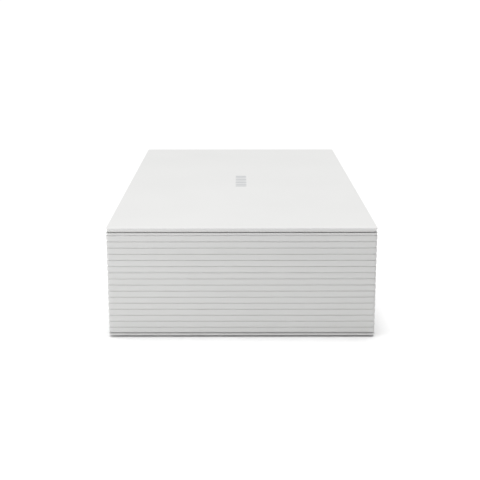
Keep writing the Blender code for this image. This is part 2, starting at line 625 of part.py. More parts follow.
def build_fan():
    middle = (FAN_FRONT + FAN_REAR) / 2
    frame = block("fan_frame", around(FAN_X, FAN_SIZE), (FAN_FRONT, FAN_REAR), around(FAN_Z, FAN_SIZE), BLACK)
    bore = rod("fan_bore", (FAN_X, middle, FAN_Z), FAN_BORE_RADIUS, 2 * FAN_DEPTH, "Y", segments=40)
    cut(frame, bore)
    spider_y = FAN_REAR - FAN_SPIDER / 2
    spokes = boxes("fan_spokes", [(around(FAN_X, FAN_SIZE - 2 * MM), around(spider_y, FAN_SPIDER),
                                   around(FAN_Z, 3.0 * MM))])
    posts = boxes("fan_spokes_upright", [(around(FAN_X, 3.0 * MM), around(spider_y, FAN_SPIDER),
                                          around(FAN_Z, FAN_SIZE - 2 * MM))])
    stator_radius = FAN_HUB_RADIUS - FAN_HUB_WALL - 0.6 * MM
    seat = rod("fan_seat", (FAN_X, spider_y, FAN_Z), FAN_HUB_RADIUS, FAN_SPIDER, "Y")
    stator = rod("fan_stator", (FAN_X, FAN_REAR - 4.5 * MM, FAN_Z), stator_radius, 8.0 * MM, "Y")
    fuse(frame, spokes, posts, seat, stator)
    bearing = rod("fan_bearing", (FAN_X, middle, FAN_Z), 1.4 * MM, FAN_DEPTH * 1.5, "Y", segments=12)
    holes = rods("fan_corner_holes", [(x, middle, z) for x, z in fan_holes().values()],
                 FAN_SCREW_RADIUS + GAP, 2 * FAN_DEPTH, "Y", 12)
    cut(frame, bearing, holes)

    # The rotor's own zero is on its axis. Its cup opens towards the rear, round the stator.
    rotor_front = FAN_FRONT + 0.8 * MM
    rotor_rear = FAN_REAR - FAN_SPIDER - 0.8 * MM
    length = rotor_rear - rotor_front
    shaft = 1.1 * MM
    inner = FAN_HUB_RADIUS - FAN_HUB_WALL
    floor = -length / 2 + 1.6 * MM
    rotor = turned("fan_rotor", [(0, length / 2), (shaft, length / 2), (shaft, floor), (inner, floor),
                                 (inner, length / 2), (FAN_HUB_RADIUS, length / 2),
                                 (FAN_HUB_RADIUS, -length / 2), (0, -length / 2)],
                   (FAN_X, (rotor_front + rotor_rear) / 2, FAN_Z), "Y", BLACK)
    bm = bmesh.new()
    tip = FAN_BORE_RADIUS - FAN_TIP_GAP
    root = FAN_HUB_RADIUS - FAN_HUB_WALL / 2
    for index in range(FAN_BLADES):
        spin = Matrix.Rotation(math.tau * index / FAN_BLADES, 4, "Z")
        reach = Matrix.Translation(((tip + root) / 2 - 0.9 * MM, 0, 0))
        pitch = Matrix.Rotation(FAN_BLADE_PITCH, 4, "X")
        size = Matrix.Diagonal((tip - root, FAN_BLADE_CHORD, 1.1 * MM, 1.0))
        bmesh.ops.create_cube(bm, size=1.0, matrix=spin @ reach @ pitch @ size)
    blades = place("fan_blades", bm, rotor.location, None, "Y")
    fuse(rotor, blades)

    for (height, side), (x, z) in fan_holes().items():
        base = PANEL_OUT + GAP
        head = FAN_SCREW_HEAD_RADIUS
        top = FAN_SCREW_HEAD_HEIGHT
        screw = turned(f"fan_screw_{height}_{side}",
                       [(0, top), (head - 0.5 * MM, top), (head, top - 0.6 * MM), (head, 0),
                        (FAN_SCREW_RADIUS, 0), (FAN_SCREW_RADIUS, 1 * MM - FAN_SCREW_LENGTH),
                        (FAN_SCREW_RADIUS * 0.5, -FAN_SCREW_LENGTH), (0, -FAN_SCREW_LENGTH)],
                       (x, base, z), "Y", STEEL, 12)
        cut(screw, cross(f"fan_drive_{height}_{side}", (x, base + top, z), CROSS_SIZE, "Y"))


# ---------------------------------------------------------------- drive and cradle

def drive_holes():
    rear = DRIVE_REAR - DRIVE_HOLE_REAR
    return {(end, side): (sign, y) for side, sign in SIDES.items()
            for end, y in (("front", rear - DRIVE_HOLE_PITCH), ("rear", rear))}


def build_drive():
    half = DRIVE_WIDTH / 2
    casting = block("drive_casting", (-half, half), (DRIVE_FRONT, DRIVE_REAR), (DRIVE_BOTTOM, CASTING_TOP),
                    ALUMINIUM)
    well = rod("platter_well", (0, SPINDLE_Y, CAVITY_FLOOR + DRIVE_HEIGHT / 2), PLATTER_RADIUS + 1.4 * MM,
               DRIVE_HEIGHT, segments=48)
    bay = block("arm_bay", (-half + 6.0 * MM, half - 4.0 * MM),
                (SPINDLE_Y + 30.0 * MM, DRIVE_REAR - 9.0 * MM), (CAVITY_FLOOR, CAVITY_FLOOR + DRIVE_HEIGHT))
    recess = block("board_recess", (-half + 7.0 * MM, half - 7.0 * MM),
                   (DRIVE_FRONT + 14.0 * MM, DRIVE_REAR - 9.0 * MM),
                   (DRIVE_BOTTOM - MM, DRIVE_BOTTOM + DRIVE_BOARD_RECESS))
    holes = rods("drive_side_holes", [(sign * half, y, DRIVE_BOTTOM + DRIVE_HOLE_HEIGHT)
                                      for sign, y in drive_holes().values()], DRIVE_HOLE_RADIUS,
                 10.0 * MM, "X", 12)
    notch = block("connector_notch", around(CONNECTOR_OFFSET, CONNECTOR_WIDTH + 2 * GAP),
                  (DRIVE_REAR - 6.0 * MM - GAP, DRIVE_REAR + MM),
                  (DRIVE_BOTTOM - MM, DRIVE_BOTTOM + 6.5 * MM))
    cut(casting, well, bay, recess, holes, notch)
    block("drive_lid", (-half, half), (DRIVE_FRONT, DRIVE_REAR), (DRIVE_TOP - DRIVE_LID, DRIVE_TOP), STEEL,
          3.0 * MM)
    block("drive_board", (-half + 8.0 * MM, half - 8.0 * MM),
          (DRIVE_FRONT + 15.0 * MM, DRIVE_REAR - 10.0 * MM),
          (DRIVE_BOTTOM + 1.0 * MM, DRIVE_BOTTOM + 2.4 * MM), LAMINATE)
    plug = block("drive_connector", around(CONNECTOR_OFFSET, CONNECTOR_WIDTH),
                 (DRIVE_REAR - 6.0 * MM, DRIVE_REAR), (DRIVE_BOTTOM + GAP, DRIVE_BOTTOM + 6.2 * MM), BLACK)
    cut(plug, block("connector_mouth", around(CONNECTOR_OFFSET, CONNECTOR_WIDTH - 3.0 * MM),
                    (DRIVE_REAR - 4.5 * MM, DRIVE_REAR + MM), around(DRIVE_BOTTOM + 4.4 * MM, 1.4 * MM)))

    # The platters and their hub turn about the spindle.
    low = PLATTER_PITCH * 0.8
    hub_top = low + PLATTER_PITCH * (PLATTER_COUNT - 1) + PLATTER_THICKNESS + 3.0 * MM
    profile = [(0, hub_top), (SPINDLE_RADIUS, hub_top)]
    for index in reversed(range(PLATTER_COUNT)):
        level = low + PLATTER_PITCH * index
        profile += [(SPINDLE_RADIUS, level + PLATTER_THICKNESS), (PLATTER_RADIUS, level + PLATTER_THICKNESS),
                    (PLATTER_RADIUS, level), (SPINDLE_RADIUS, level)]
    profile += [(SPINDLE_RADIUS, GAP), (0, GAP)]
    turned("platter_stack", profile, (0, SPINDLE_Y, CAVITY_FLOOR), "Z", MIRROR, 32)

    # The head arm swings about its pivot; its blades run between the platters.
    pivot = (ARM_PIVOT[0], SPINDLE_Y + ARM_PIVOT[1], CAVITY_FLOOR)
    arm = rod("head_arm", pivot, 6.0 * MM, hub_top - GAP, "Z", ALUMINIUM)
    arm.data.transform(Matrix.Translation((0, 0, (hub_top + GAP) / 2)))
    along = Vector((math.cos(ARM_PARKED), math.sin(ARM_PARKED)))
    across = Vector((-along.y, along.x))
    tip = along * ARM_LENGTH
    blade = [across * 5.0 * MM, tip + across * 1.2 * MM, tip - across * 1.2 * MM, across * -5.0 * MM]
    tail = [across * 4.5 * MM, across * -4.5 * MM, -along * ARM_TAIL - across * 8.0 * MM,
            -along * ARM_TAIL + across * 8.0 * MM]
    for index in range(PLATTER_COUNT + 1):
        level = low + PLATTER_PITCH * (index - 1) + (PLATTER_PITCH + PLATTER_THICKNESS) / 2
        fuse(arm, plate(f"arm_blade_{index}", blade, around(level, ARM_THICKNESS), pivot))
    coil_level = (hub_top + GAP) / 2
    fuse(arm, plate("arm_coil", tail, around(coil_level, 3.0 * MM), pivot))

    yoke_x = (pivot[0] + 7.2 * MM, half - 4.8 * MM)
    yoke_y = (pivot[1] - 3.0 * MM, DRIVE_REAR - 10.0 * MM)
    yoke = block("magnet_yoke", yoke_x, yoke_y, (CAVITY_FLOOR + GAP, CAVITY_FLOOR + hub_top), STEEL)
    cut(yoke, block("yoke_slot", (yoke_x[0] - MM, yoke_x[1] + MM), (yoke_y[0] - MM, yoke_y[1] - 7.0 * MM),
                    around(CAVITY_FLOOR + coil_level, 6.0 * MM)))


def build_cradle():
    inner = DRIVE_WIDTH / 2 + CRADLE_SIDE_GAP
    length = (DRIVE_FRONT + 4.0 * MM, DRIVE_REAR - 12.0 * MM)
    cradle = block("drive_cradle", (-inner - SHEET, inner + SHEET), length,
                   (CRADLE_BOTTOM, CRADLE_BOTTOM + CRADLE_WALL_HEIGHT), STEEL)
    trough = block("cradle_trough", (-inner, inner), (length[0] - MM, length[1] + MM),
                   (CRADLE_BOTTOM + SHEET, CRADLE_BOTTOM + 2 * CRADLE_WALL_HEIGHT))
    windows = boxes("cradle_windows", [(around(0, DRIVE_WIDTH - 40.0 * MM),
                                        around(SPINDLE_Y + shift, 50.0 * MM),
                                        around(CRADLE_BOTTOM, 6.0 * MM))
                                       for shift in (-8.0 * MM, 52.0 * MM)])
    holes = rods("grommet_holes", [(sign * inner, y, DRIVE_BOTTOM + DRIVE_HOLE_HEIGHT)
                                   for sign, y in drive_holes().values()], CRADLE_HOLE_RADIUS,
                 8.0 * MM, "X", 16)
    stakes = rods("stake_holes", [(x, y, CRADLE_BOTTOM) for x, y in cradle_pins()], 1.9 * MM, 6.0 * MM,
                  segments=12)
    cut(cradle, trough, windows, holes, stakes)

    height = DRIVE_BOTTOM + DRIVE_HOLE_HEIGHT
    waist = CRADLE_HOLE_RADIUS - GAP
    inside = DRIVE_WIDTH / 2 + GAP
    flange_in = inner - GAP - inside
    total = flange_in + SHEET + 2 * GAP + 1.6 * MM
    for (end, side), (sign, y) in drive_holes().items():
        grommet = turned(f"grommet_{end}_{side}",
                         [(GROMMET_BORE, total), (GROMMET_RADIUS, total), (GROMMET_RADIUS, total - 1.6 * MM),
                          (waist, total - 1.6 * MM), (waist, flange_in), (GROMMET_RADIUS, flange_in),
                          (GROMMET_RADIUS, 0), (GROMMET_BORE, 0)],
                         (sign * inside, y, height), "X", RUBBER, 12)
        seat = inside + total + GAP
        head = DRIVE_SCREW_HEAD_RADIUS
        reach = DRIVE_WIDTH / 2 - 3.8 * MM - seat
        screw = turned(f"drive_screw_{end}_{side}",
                       [(0, DRIVE_SCREW_HEAD_HEIGHT), (head - 0.6 * MM, DRIVE_SCREW_HEAD_HEIGHT),
                        (head, DRIVE_SCREW_HEAD_HEIGHT - 0.8 * MM), (head, 0), (DRIVE_SCREW_RADIUS, 0),
                        (DRIVE_SCREW_RADIUS, reach), (0, reach)], (sign * seat, y, height), "X", STEEL, 12)
        if sign < 0:
            grommet.rotation_euler = (0.0, math.radians(-90), 0.0)
            screw.rotation_euler = (0.0, math.radians(-90), 0.0)


# ---------------------------------------------------------------- electronics

def build_board():
    board = block("main_board", (BOARD_LEFT, BOARD_RIGHT), (BOARD_FRONT, BOARD_REAR),
                  (BOARD_BOTTOM, BOARD_TOP), LAMINATE)
    cut(board, rods("board_holes", [(x, y, BOARD_TOP) for x, y in board_pins()], PIN_RADIUS + GAP,
                    8.0 * MM, segments=12))

    sink_x = BOARD_LEFT + 42.0 * MM
    sink_y = BOARD_FRONT + 38.0 * MM
    chip_top = CHIP_BOTTOM + 1.4 * MM
    block("processor", around(sink_x, 17.0 * MM), around(sink_y, 17.0 * MM), (CHIP_BOTTOM, chip_top), BLACK)
    sink_low = chip_top + GAP
    sink = block("heat_sink", around(sink_x, HEAT_SINK_SIZE), around(sink_y, HEAT_SINK_SIZE),
                 (sink_low, sink_low + HEAT_SINK_HEIGHT), ALUMINIUM)
    fin_pitch = HEAT_SINK_SIZE / (HEAT_SINK_FINS - 0.6)
    cut(sink, boxes("fin_slots", [(around(sink_x + (index - (HEAT_SINK_FINS - 2) / 2) * fin_pitch,
                                          fin_pitch * 0.6), around(sink_y, HEAT_SINK_SIZE + 2 * MM),
                                   (sink_low + HEAT_SINK_BASE, sink_low + HEAT_SINK_HEIGHT + MM))
                                  for index in range(HEAT_SINK_FINS - 1)]))
    block("memory_chip", around(BOARD_LEFT + 69.0 * MM, 12.0 * MM), around(sink_y, 9.0 * MM),
          (CHIP_BOTTOM, CHIP_BOTTOM + 1.2 * MM), BLACK)

    cell_x = BOARD_LEFT + 12.0 * MM
    cell_y = BOARD_FRONT + 18.0 * MM
    floor = 1.2 * MM
    rim = CELL_RADIUS + GAP
    turned("cell_holder", [(rim, floor + 2.6 * MM), (rim + 1.4 * MM, floor + 2.6 * MM), (rim + 1.4 * MM, 0),
                           (5.0 * MM, 0), (5.0 * MM, floor), (rim, floor)], (cell_x, cell_y, CHIP_BOTTOM),
           "Z", BLACK, 24)
    turned("coin_cell", [(0, CELL_THICKNESS), (CELL_RADIUS - 0.4 * MM, CELL_THICKNESS),
                         (CELL_RADIUS, CELL_THICKNESS - 0.4 * MM), (CELL_RADIUS, 0.3 * MM),
                         (CELL_RADIUS - 1.2 * MM, 0), (0, 0)], (cell_x, cell_y, CHIP_BOTTOM + floor + GAP),
           "Z", STEEL, 24)


def build_sockets():
    places = socket_places()
    width, depth, height = LAN_SIZE
    lan = block("lan_jack", around(places["lan"], width), (PANEL_OUT - depth, PANEL_OUT),
                (CHIP_BOTTOM, CHIP_BOTTOM + height), STEEL)
    mouth_low = CHIP_BOTTOM + 1.6 * MM
    cut(lan, boxes("lan_mouth", [(around(places["lan"], LAN_MOUTH[0]),
                                  (PANEL_OUT - LAN_MOUTH[1], PANEL_OUT + MM),
                                  (mouth_low, mouth_low + LAN_MOUTH[2]))]),
        boxes("lan_latch", [(around(places["lan"], 6.0 * MM), (PANEL_OUT - LAN_MOUTH[1], PANEL_OUT + MM),
                             (mouth_low + LAN_MOUTH[2] - MM, mouth_low + LAN_MOUTH[2] + 2.0 * MM))]))

    width, depth, height = USB_SIZE
    for side in SIDES:
        x = places[f"usb_{side}"]
        rear = PANEL_OUT - depth
        shell = block(f"usb_shell_{side}", around(x, width), (rear, PANEL_OUT),
                      (CHIP_BOTTOM, CHIP_BOTTOM + height), STEEL)
        cut(shell, block(f"usb_mouth_{side}", around(x, width - 2 * USB_WALL),
                         (rear + USB_WALL, PANEL_OUT + MM),
                         (CHIP_BOTTOM + USB_WALL, CHIP_BOTTOM + height - USB_WALL)))
        room = USB_WALL + GAP
        core = block(f"usb_insulator_{side}", around(x, width - 2 * room),
                     (rear + room, rear + room + 3.5 * MM),
                     (CHIP_BOTTOM + room, CHIP_BOTTOM + height - room), BLACK)
        top = CHIP_BOTTOM + height - room - 0.5 * MM
        fuse(core, block(f"usb_tongue_{side}", around(x, width - 2 * room - MM),
                         (rear + room + MM, PANEL_OUT - 1.4 * MM), (top - USB_TONGUE, top)))

    width, depth, height = JACK_SIZE
    x = places["jack"]
    jack = block("dc_jack", around(x, width), (PANEL_OUT - depth, PANEL_OUT),
                 (CHIP_BOTTOM, CHIP_BOTTOM + height), BLACK)
    bore_deep = 10.0 * MM
    mouth = (x, PANEL_OUT, CHIP_BOTTOM + height / 2)
    ring = turned("jack_ring", [(JACK_PIN, MM), (JACK_BORE, MM), (JACK_BORE, -bore_deep),
                                (JACK_PIN, -bore_deep)], mouth, "Y", None, 16)
    pin_short = rod("jack_pin_trim", mouth, 2 * MM, 2 * MM, "Y", segments=12)
    cut(jack, ring, pin_short)


def build_buttons():
    board_y = (SWITCH_BOARD_REAR - BOARD_THICKNESS, SWITCH_BOARD_REAR)
    block("switch_board", (LAMP_X - 7.0 * MM, POWER_X + 7.5 * MM), board_y,
          (POWER_Z - 12.5 * MM, POWER_Z + 6.0 * MM), LAMINATE)
    body_rear = SWITCH_BOARD_REAR + GAP + 3.5 * MM
    switch = block("power_switch", around(POWER_X, 6.0 * MM), (SWITCH_BOARD_REAR + GAP, body_rear),
                   around(POWER_Z, 6.0 * MM), BLACK)
    well = PLUNGER_REACH + POWER_TRAVEL + WELL_SPARE
    cut(switch, rod("plunger_well", (POWER_X, body_rear, POWER_Z), 2.0 * MM, 2 * well, "Y", segments=16))

    # The button, with its own zero on its face's middle, and the plunger that it pushes.
    face = PANEL_OUT + POWER_PROUD
    flange = face - PANEL_IN + GAP
    stem = face - body_rear - 2.4 * MM
    turned("power_button", [(0, 0), (POWER_RADIUS - 0.5 * MM, 0), (POWER_RADIUS, -0.5 * MM),
                            (POWER_RADIUS, -flange), (POWER_RADIUS + 1.5 * MM, -flange),
                            (POWER_RADIUS + 1.5 * MM, -flange - POWER_FLANGE),
                            (2.0 * MM, -flange - POWER_FLANGE), (2.0 * MM, -stem), (0, -stem)],
           (POWER_X, face, POWER_Z), "Y", WHITE, 24)
    plunger_end = body_rear - PLUNGER_REACH
    plunger_top = body_rear + 2.4 * MM - GAP
    rod("switch_plunger", (POWER_X, (plunger_end + plunger_top) / 2, POWER_Z), 1.7 * MM,
        plunger_top - plunger_end, "Y", BLACK, 16)

    x = socket_places()["reset"]
    body = (PANEL_IN - 6.0 * MM, PANEL_IN - 1.6 * MM)
    switch = block("reset_switch", around(x, 5.6 * MM), body, (CHIP_BOTTOM, CHIP_BOTTOM + 6.0 * MM), BLACK)
    well = RESET_REACH + RESET_TRAVEL + WELL_SPARE
    cut(switch, rod("reset_well", (x, body[1], RESET_Z), RESET_RADIUS + GAP, 2 * well, "Y", segments=16))
    plunger = (body[1] - RESET_REACH, PANEL_IN + 0.4 * MM)
    rod("reset_button", (x, sum(plunger) / 2, RESET_Z), RESET_RADIUS, plunger[1] - plunger[0], "Y", BLACK, 16)

    lamp = (SWITCH_BOARD_REAR + GAP, SWITCH_BOARD_REAR + GAP + 1.8 * MM)
    block("status_lamp", around(LAMP_X, 3.0 * MM), lamp, around(POWER_Z, 3.0 * MM), CLEAR)
    length = PANEL_OUT - lamp[1] - GAP
    collar = PANEL_THICKNESS + GAP
    turned("light_pipe", [(0, 0), (LAMP_RADIUS - 0.3 * MM, 0), (LAMP_RADIUS, -0.3 * MM),
                          (LAMP_RADIUS, -collar), (LAMP_RADIUS + MM, -collar),
                          (LAMP_RADIUS + MM, -collar - 1.2 * MM),
                          (LAMP_RADIUS, -collar - 1.2 * MM), (LAMP_RADIUS, -length), (0, -length)],
           (LAMP_X, PANEL_OUT, POWER_Z), "Y", CLEAR, 16)


def build_cables():
    plug_y = (DRIVE_REAR + GAP, DRIVE_REAR + 8.0 * MM)
    block("sata_plug", around(CONNECTOR_OFFSET, CONNECTOR_WIDTH), plug_y,
          (DRIVE_BOTTOM + GAP, DRIVE_BOTTOM + 6.8 * MM), BLACK)
    header_y = (BOARD_FRONT + 6.0 * MM, BOARD_FRONT + 11.0 * MM)
    header_x = BOARD_LEFT + 40.0 * MM
    block("sata_header", around(header_x, 28.0 * MM), header_y, (CHIP_BOTTOM, CHIP_BOTTOM + 6.4 * MM), BLACK)
    start = Vector((CONNECTOR_OFFSET + 2.0 * MM, plug_y[1] + GAP, DRIVE_BOTTOM + 3.6 * MM))
    end = Vector((header_x - 6.0 * MM, header_y[0] - GAP, CHIP_BOTTOM + 3.2 * MM))
    run = (end.y - start.y) / 2
    lead("sata_cable", start, end, (run, run), 2.4 * MM, BLACK)

    plug_x = BOARD_LEFT + 5.0 * MM
    plug_back = BOARD_FRONT + 46.0 * MM
    block("fan_plug", around(plug_x, 6.0 * MM), (plug_back, plug_back + 6.0 * MM),
          (CHIP_BOTTOM, CHIP_BOTTOM + 6.0 * MM), WHITE)
    start = Vector((FAN_X + FAN_SIZE / 2 - 4.0 * MM, FAN_FRONT - GAP, FAN_Z - FAN_SIZE / 2 + 8.0 * MM))
    end = Vector((plug_x, plug_back - GAP, CHIP_BOTTOM + 3.4 * MM))
    lead("fan_lead", start, end, (-16.0 * MM, 16.0 * MM), 1.2 * MM, BLACK)


RINGS = groove_rings()
build_sleeve(RINGS)
build_lid()
build_base(RINGS)
build_feet_and_screws()
build_panel()
build_fan()
build_drive()
build_cradle()
build_board()
build_sockets()
build_buttons()
build_cables()
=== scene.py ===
# %% [markdown]
# # A network attached storage box
# The box lies on its broad side: a plain white lid, walls ribbed all round, and a rear panel with a
# fan grille and the sockets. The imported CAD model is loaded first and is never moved. Each visible
# piece is then made again with finer detail where the CAD piece stands, and hides it.

# %% The frame
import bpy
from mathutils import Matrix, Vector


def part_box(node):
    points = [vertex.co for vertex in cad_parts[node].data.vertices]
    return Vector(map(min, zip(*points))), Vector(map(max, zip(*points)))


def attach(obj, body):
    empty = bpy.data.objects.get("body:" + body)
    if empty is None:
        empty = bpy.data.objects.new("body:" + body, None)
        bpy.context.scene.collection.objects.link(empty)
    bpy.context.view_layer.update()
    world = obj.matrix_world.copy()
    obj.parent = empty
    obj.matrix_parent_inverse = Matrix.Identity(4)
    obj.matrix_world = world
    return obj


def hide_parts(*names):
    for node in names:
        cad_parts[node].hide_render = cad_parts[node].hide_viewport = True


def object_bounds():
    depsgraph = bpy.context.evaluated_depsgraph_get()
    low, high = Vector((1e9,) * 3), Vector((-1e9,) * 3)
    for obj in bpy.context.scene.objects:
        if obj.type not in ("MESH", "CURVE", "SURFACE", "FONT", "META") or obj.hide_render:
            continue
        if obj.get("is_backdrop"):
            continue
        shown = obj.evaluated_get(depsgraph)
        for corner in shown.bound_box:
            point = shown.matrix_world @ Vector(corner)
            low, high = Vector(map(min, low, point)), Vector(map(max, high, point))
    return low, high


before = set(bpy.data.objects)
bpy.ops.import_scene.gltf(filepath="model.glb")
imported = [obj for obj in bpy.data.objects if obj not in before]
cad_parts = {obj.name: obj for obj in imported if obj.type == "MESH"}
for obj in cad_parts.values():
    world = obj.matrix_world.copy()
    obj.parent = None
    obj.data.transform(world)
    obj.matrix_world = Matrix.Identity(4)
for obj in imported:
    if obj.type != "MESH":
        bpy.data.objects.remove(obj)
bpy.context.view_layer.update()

# %% Modules and units
import math
import random

import bmesh
import bpy
from mathutils import Matrix, Vector

MM = 0.001
X, Y, Z = range(3)
AXES = [Vector((1, 0, 0)), Vector((0, 1, 0)), Vector((0, 0, 1))]
GAP = 0.3 * MM                      # air between two pieces that touch


def spans(node):
    """The three (low, high) spans of a CAD node, along X, Y and Z."""
    low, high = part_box(node)
    return [(low[axis], high[axis]) for axis in (X, Y, Z)]


def inset(span, by):
    """A span drawn in at both ends, or let out where by is below zero."""
    return (span[0] + by, span[1] - by)


def middle(span):
    return (span[0] + span[1]) / 2


def around(centre, size):
    return (centre - size / 2, centre + size / 2)


def centre_of(node):
    return Vector([middle(span) for span in spans(node)])


SLEEVE = spans("ribbed_sleeve")
LID = spans("top_cover")
LID_SHEET = 2.7 * MM
SHADOW_GAP = 0.38 * MM             # dark line between the lid and the wall
LID_BOTTOM = LID[Z][1] - LID_SHEET
SLEEVE[Z] = (SLEEVE[Z][0], LID_BOTTOM - SHADOW_GAP)
print("wall, mm:", [round((high - low) / MM, 2) for low, high in SLEEVE])

# %% [markdown]
# ## Camera, floor and light
# A product like this is shown on a white sweep under large soft lights. The same look needs few
# parts here: a pale floor that runs to the horizon, an even white world, a very wide sun overhead
# that brightens the lid more than the walls, and one small panel close by at the left that makes the
# left end of the front a little brighter than the right end. The camera stands in front, looks down,
# and has a small shift, so the upright edges draw together less than the tilt alone would make them.

# %% Camera
scene = bpy.context.scene
scene.view_settings.view_transform = "Standard"
lens = bpy.data.cameras.new("camera")
lens.lens = 68.56
lens.shift_y = -0.10
lens.sensor_width = 36.0
lens.clip_end = 500.0
camera = bpy.data.objects.new("camera", lens)
camera.location = (-0.0025, -0.6516, 0.2064)
camera.rotation_euler = (math.radians(90 - 12.68), 0.0, math.radians(-0.155))
scene.collection.objects.link(camera)
scene.camera = camera
print("camera:", tuple(round(value, 3) for value in camera.location), "m")

# %% World and lights
SKY = 0.27                          # even light from everywhere
SUN = 3.03                          # wide light from above
SIDE = 0.18                         # watts of the side panel

world = bpy.data.worlds.new("studio")
scene.world = world
world.use_nodes = True
world.node_tree.nodes["Background"].inputs["Color"].default_value = (1.0, 1.0, 1.0, 1.0)
world.node_tree.nodes["Background"].inputs["Strength"].default_value = SKY


def lamp(name, kind, power, location, aim_at, **settings):
    """A light of one kind that points at a place."""
    light = bpy.data.lights.new(name, kind)
    light.energy = power
    for setting, value in settings.items():
        setattr(light, setting, value)
    holder = bpy.data.objects.new(name, light)
    holder.location = location
    holder.rotation_euler = (Vector(aim_at) - Vector(location)).to_track_quat("-Z", "Y").to_euler()
    scene.collection.objects.link(holder)


lamp("overhead", "SUN", SUN, (-0.02, 0.01, 1.0), (0, 0, 0), angle=math.radians(36))
lamp("side_panel", "AREA", SIDE, (-0.27, -0.32, 0.14), (-0.05, -0.13, 0.04), size=0.16)

# %% [markdown]
# ## Finishes
# A finish is one Principled shader plus a few layers of texture. Texture reads Object coordinates,
# and every piece sits at the origin, so a grain keeps its real size in millimetres on every piece.
# A layer can tint the colour, change the gloss, and raise or sink the surface.

# %% Finish helpers
def hex_to_linear(code):
    """An sRGB hex value as a linear colour with full alpha."""
    channels = [int(code[index:index + 2], 16) / 255 for index in (1, 3, 5)]
    return (*(c / 12.92 if c <= 0.04045 else ((c + 0.055) / 1.055) ** 2.4 for c in channels), 1.0)


def add(tree, kind, inputs=(), **settings):
    """Add a node. A value for an input is a constant, a socket, or a node whose first output is meant."""
    made = tree.nodes.new(kind)
    for setting, value in settings.items():
        setattr(made, setting, value)
    for key, value in dict(inputs).items():
        if isinstance(value, bpy.types.Node):
            value = value.outputs[0]
        if isinstance(value, bpy.types.NodeSocket):
            tree.links.new(value, made.inputs[key])
        else:
            made.inputs[key].default_value = value
    return made


def finish(name, colour, roughness, metallic=0.0, **sockets):
    """A material named for what it is made of, with a plain Principled shader."""
    material = bpy.data.materials.new(name)
    material.use_nodes = True
    shader = material.node_tree.nodes["Principled BSDF"]
    shader.inputs["Base Color"].default_value = hex_to_linear(colour)
    shader.inputs["Roughness"].default_value = roughness
    shader.inputs["Metallic"].default_value = metallic
    for socket, value in sockets.items():
        shader.inputs[socket.replace("_", " ")].default_value = value
    return material


def layer(material, kind, grain, stretch=(1, 1, 1), height=0.0, tint=None, gloss=0.0, **settings):
    """Lay one texture over a finish.

    grain is the width of one grain in metres, stretched along X, Y and Z; height is how deep the
    relief is; tint is the colour that the texture mixes in; gloss is how far roughness may move.
    """
    tree = material.node_tree
    shader = tree.nodes["Principled BSDF"]
    place = add(tree, "ShaderNodeTexCoord")
    scale = [1 / (grain * factor) for factor in stretch]
    spread = add(tree, "ShaderNodeMapping", {"Vector": place.outputs["Object"], "Scale": scale})
    texture = add(tree, kind, {"Vector": spread, "Scale": 1.0}, **settings)
    value = texture.outputs["Factor" if "Factor" in texture.outputs else 0]
    if tint:
        under = shader.inputs["Base Color"]
        mix = add(tree, "ShaderNodeMix", {0: value}, data_type="RGBA")
        if under.is_linked:
            tree.links.new(under.links[0].from_socket, mix.inputs[6])
        else:
            mix.inputs[6].default_value = under.default_value
        mix.inputs[7].default_value = hex_to_linear(tint)
        tree.links.new(mix.outputs[2], under)
    if gloss:
        rough = shader.inputs["Roughness"]
        base = rough.default_value
        reach = add(tree, "ShaderNodeMapRange", {"Value": value, "To Min": base - gloss,
                                                 "To Max": base + gloss})
        tree.links.new(reach.outputs[0], rough)
    if height:
        bump = add(tree, "ShaderNodeBump", {"Height": value, "Distance": height, "Strength": 1.0})
        if shader.inputs["Normal"].is_linked:
            tree.links.new(shader.inputs["Normal"].links[0].from_socket, bump.inputs["Normal"])
        tree.links.new(bump.outputs["Normal"], shader.inputs["Normal"])
    return material


NOISE = "ShaderNodeTexNoise"
CELLS = "ShaderNodeTexVoronoi"

# %% [markdown]
# ### Casing plastics
# The casing is ABS from a spark-eroded mould. The spark leaves a fine matt grain of about 0.3 mm,
# so light spreads softly and edges stay crisp. At that size the grain would only flicker in a
# render of the whole box, so it is drawn at 0.7 mm and kept shallow. A slow, faint change of tone
# stands for uneven flow of the plastic.

# %% Casing and dark plastics
white_abs = finish("spark_eroded_white_abs", "#DFDFDE", 0.52, IOR=1.53)
layer(white_abs, NOISE, 0.7 * MM, height=0.014 * MM, gloss=0.05, noise_type="FBM")
layer(white_abs, CELLS, 0.35 * MM, height=0.006 * MM)
layer(white_abs, NOISE, 60 * MM, tint="#DADAD9")

# Glass-filled PBT of the fan: near black, satin, with streaks where the fibres lie.
black_pbt = finish("glass_filled_black_pbt", "#17181A", 0.42, IOR=1.55)
layer(black_pbt, NOISE, 0.8 * MM, stretch=(1, 1, 6), height=0.03 * MM, gloss=0.08)

# Unfilled PBT of buttons, switches and socket inserts: black with a soft sheen.
black_insert = finish("moulded_black_pbt", "#101113", 0.36, IOR=1.55)
layer(black_insert, NOISE, 0.5 * MM, height=0.012 * MM, gloss=0.06)

# Nylon of small plugs: milky and a little see-through at thin edges.
white_nylon = finish("natural_nylon", "#E6E1D2", 0.38, IOR=1.53, Subsurface_Weight=0.08)
layer(white_nylon, NOISE, 1.2 * MM, height=0.01 * MM, tint="#DDD7C6")

# Pad-printed ink: a flat, even grey film with tiny pinholes.
grey_ink = finish("pad_printed_grey_ink", "#BCBEC0", 0.6)
layer(grey_ink, CELLS, 0.5 * MM, height=0.004 * MM, tint="#B6B8BA")
print("plastics:", white_abs.name, black_pbt.name, black_insert.name, white_nylon.name)

# %% [markdown]
# ### Metals, rubber and the rest
# Each metal keeps the default IOR. What sets them apart is how the surface was made: plating
# follows the sheet and stays bright, rolling leaves long streaks, casting leaves a pebbled skin,
# and an extrusion carries die lines along its length.

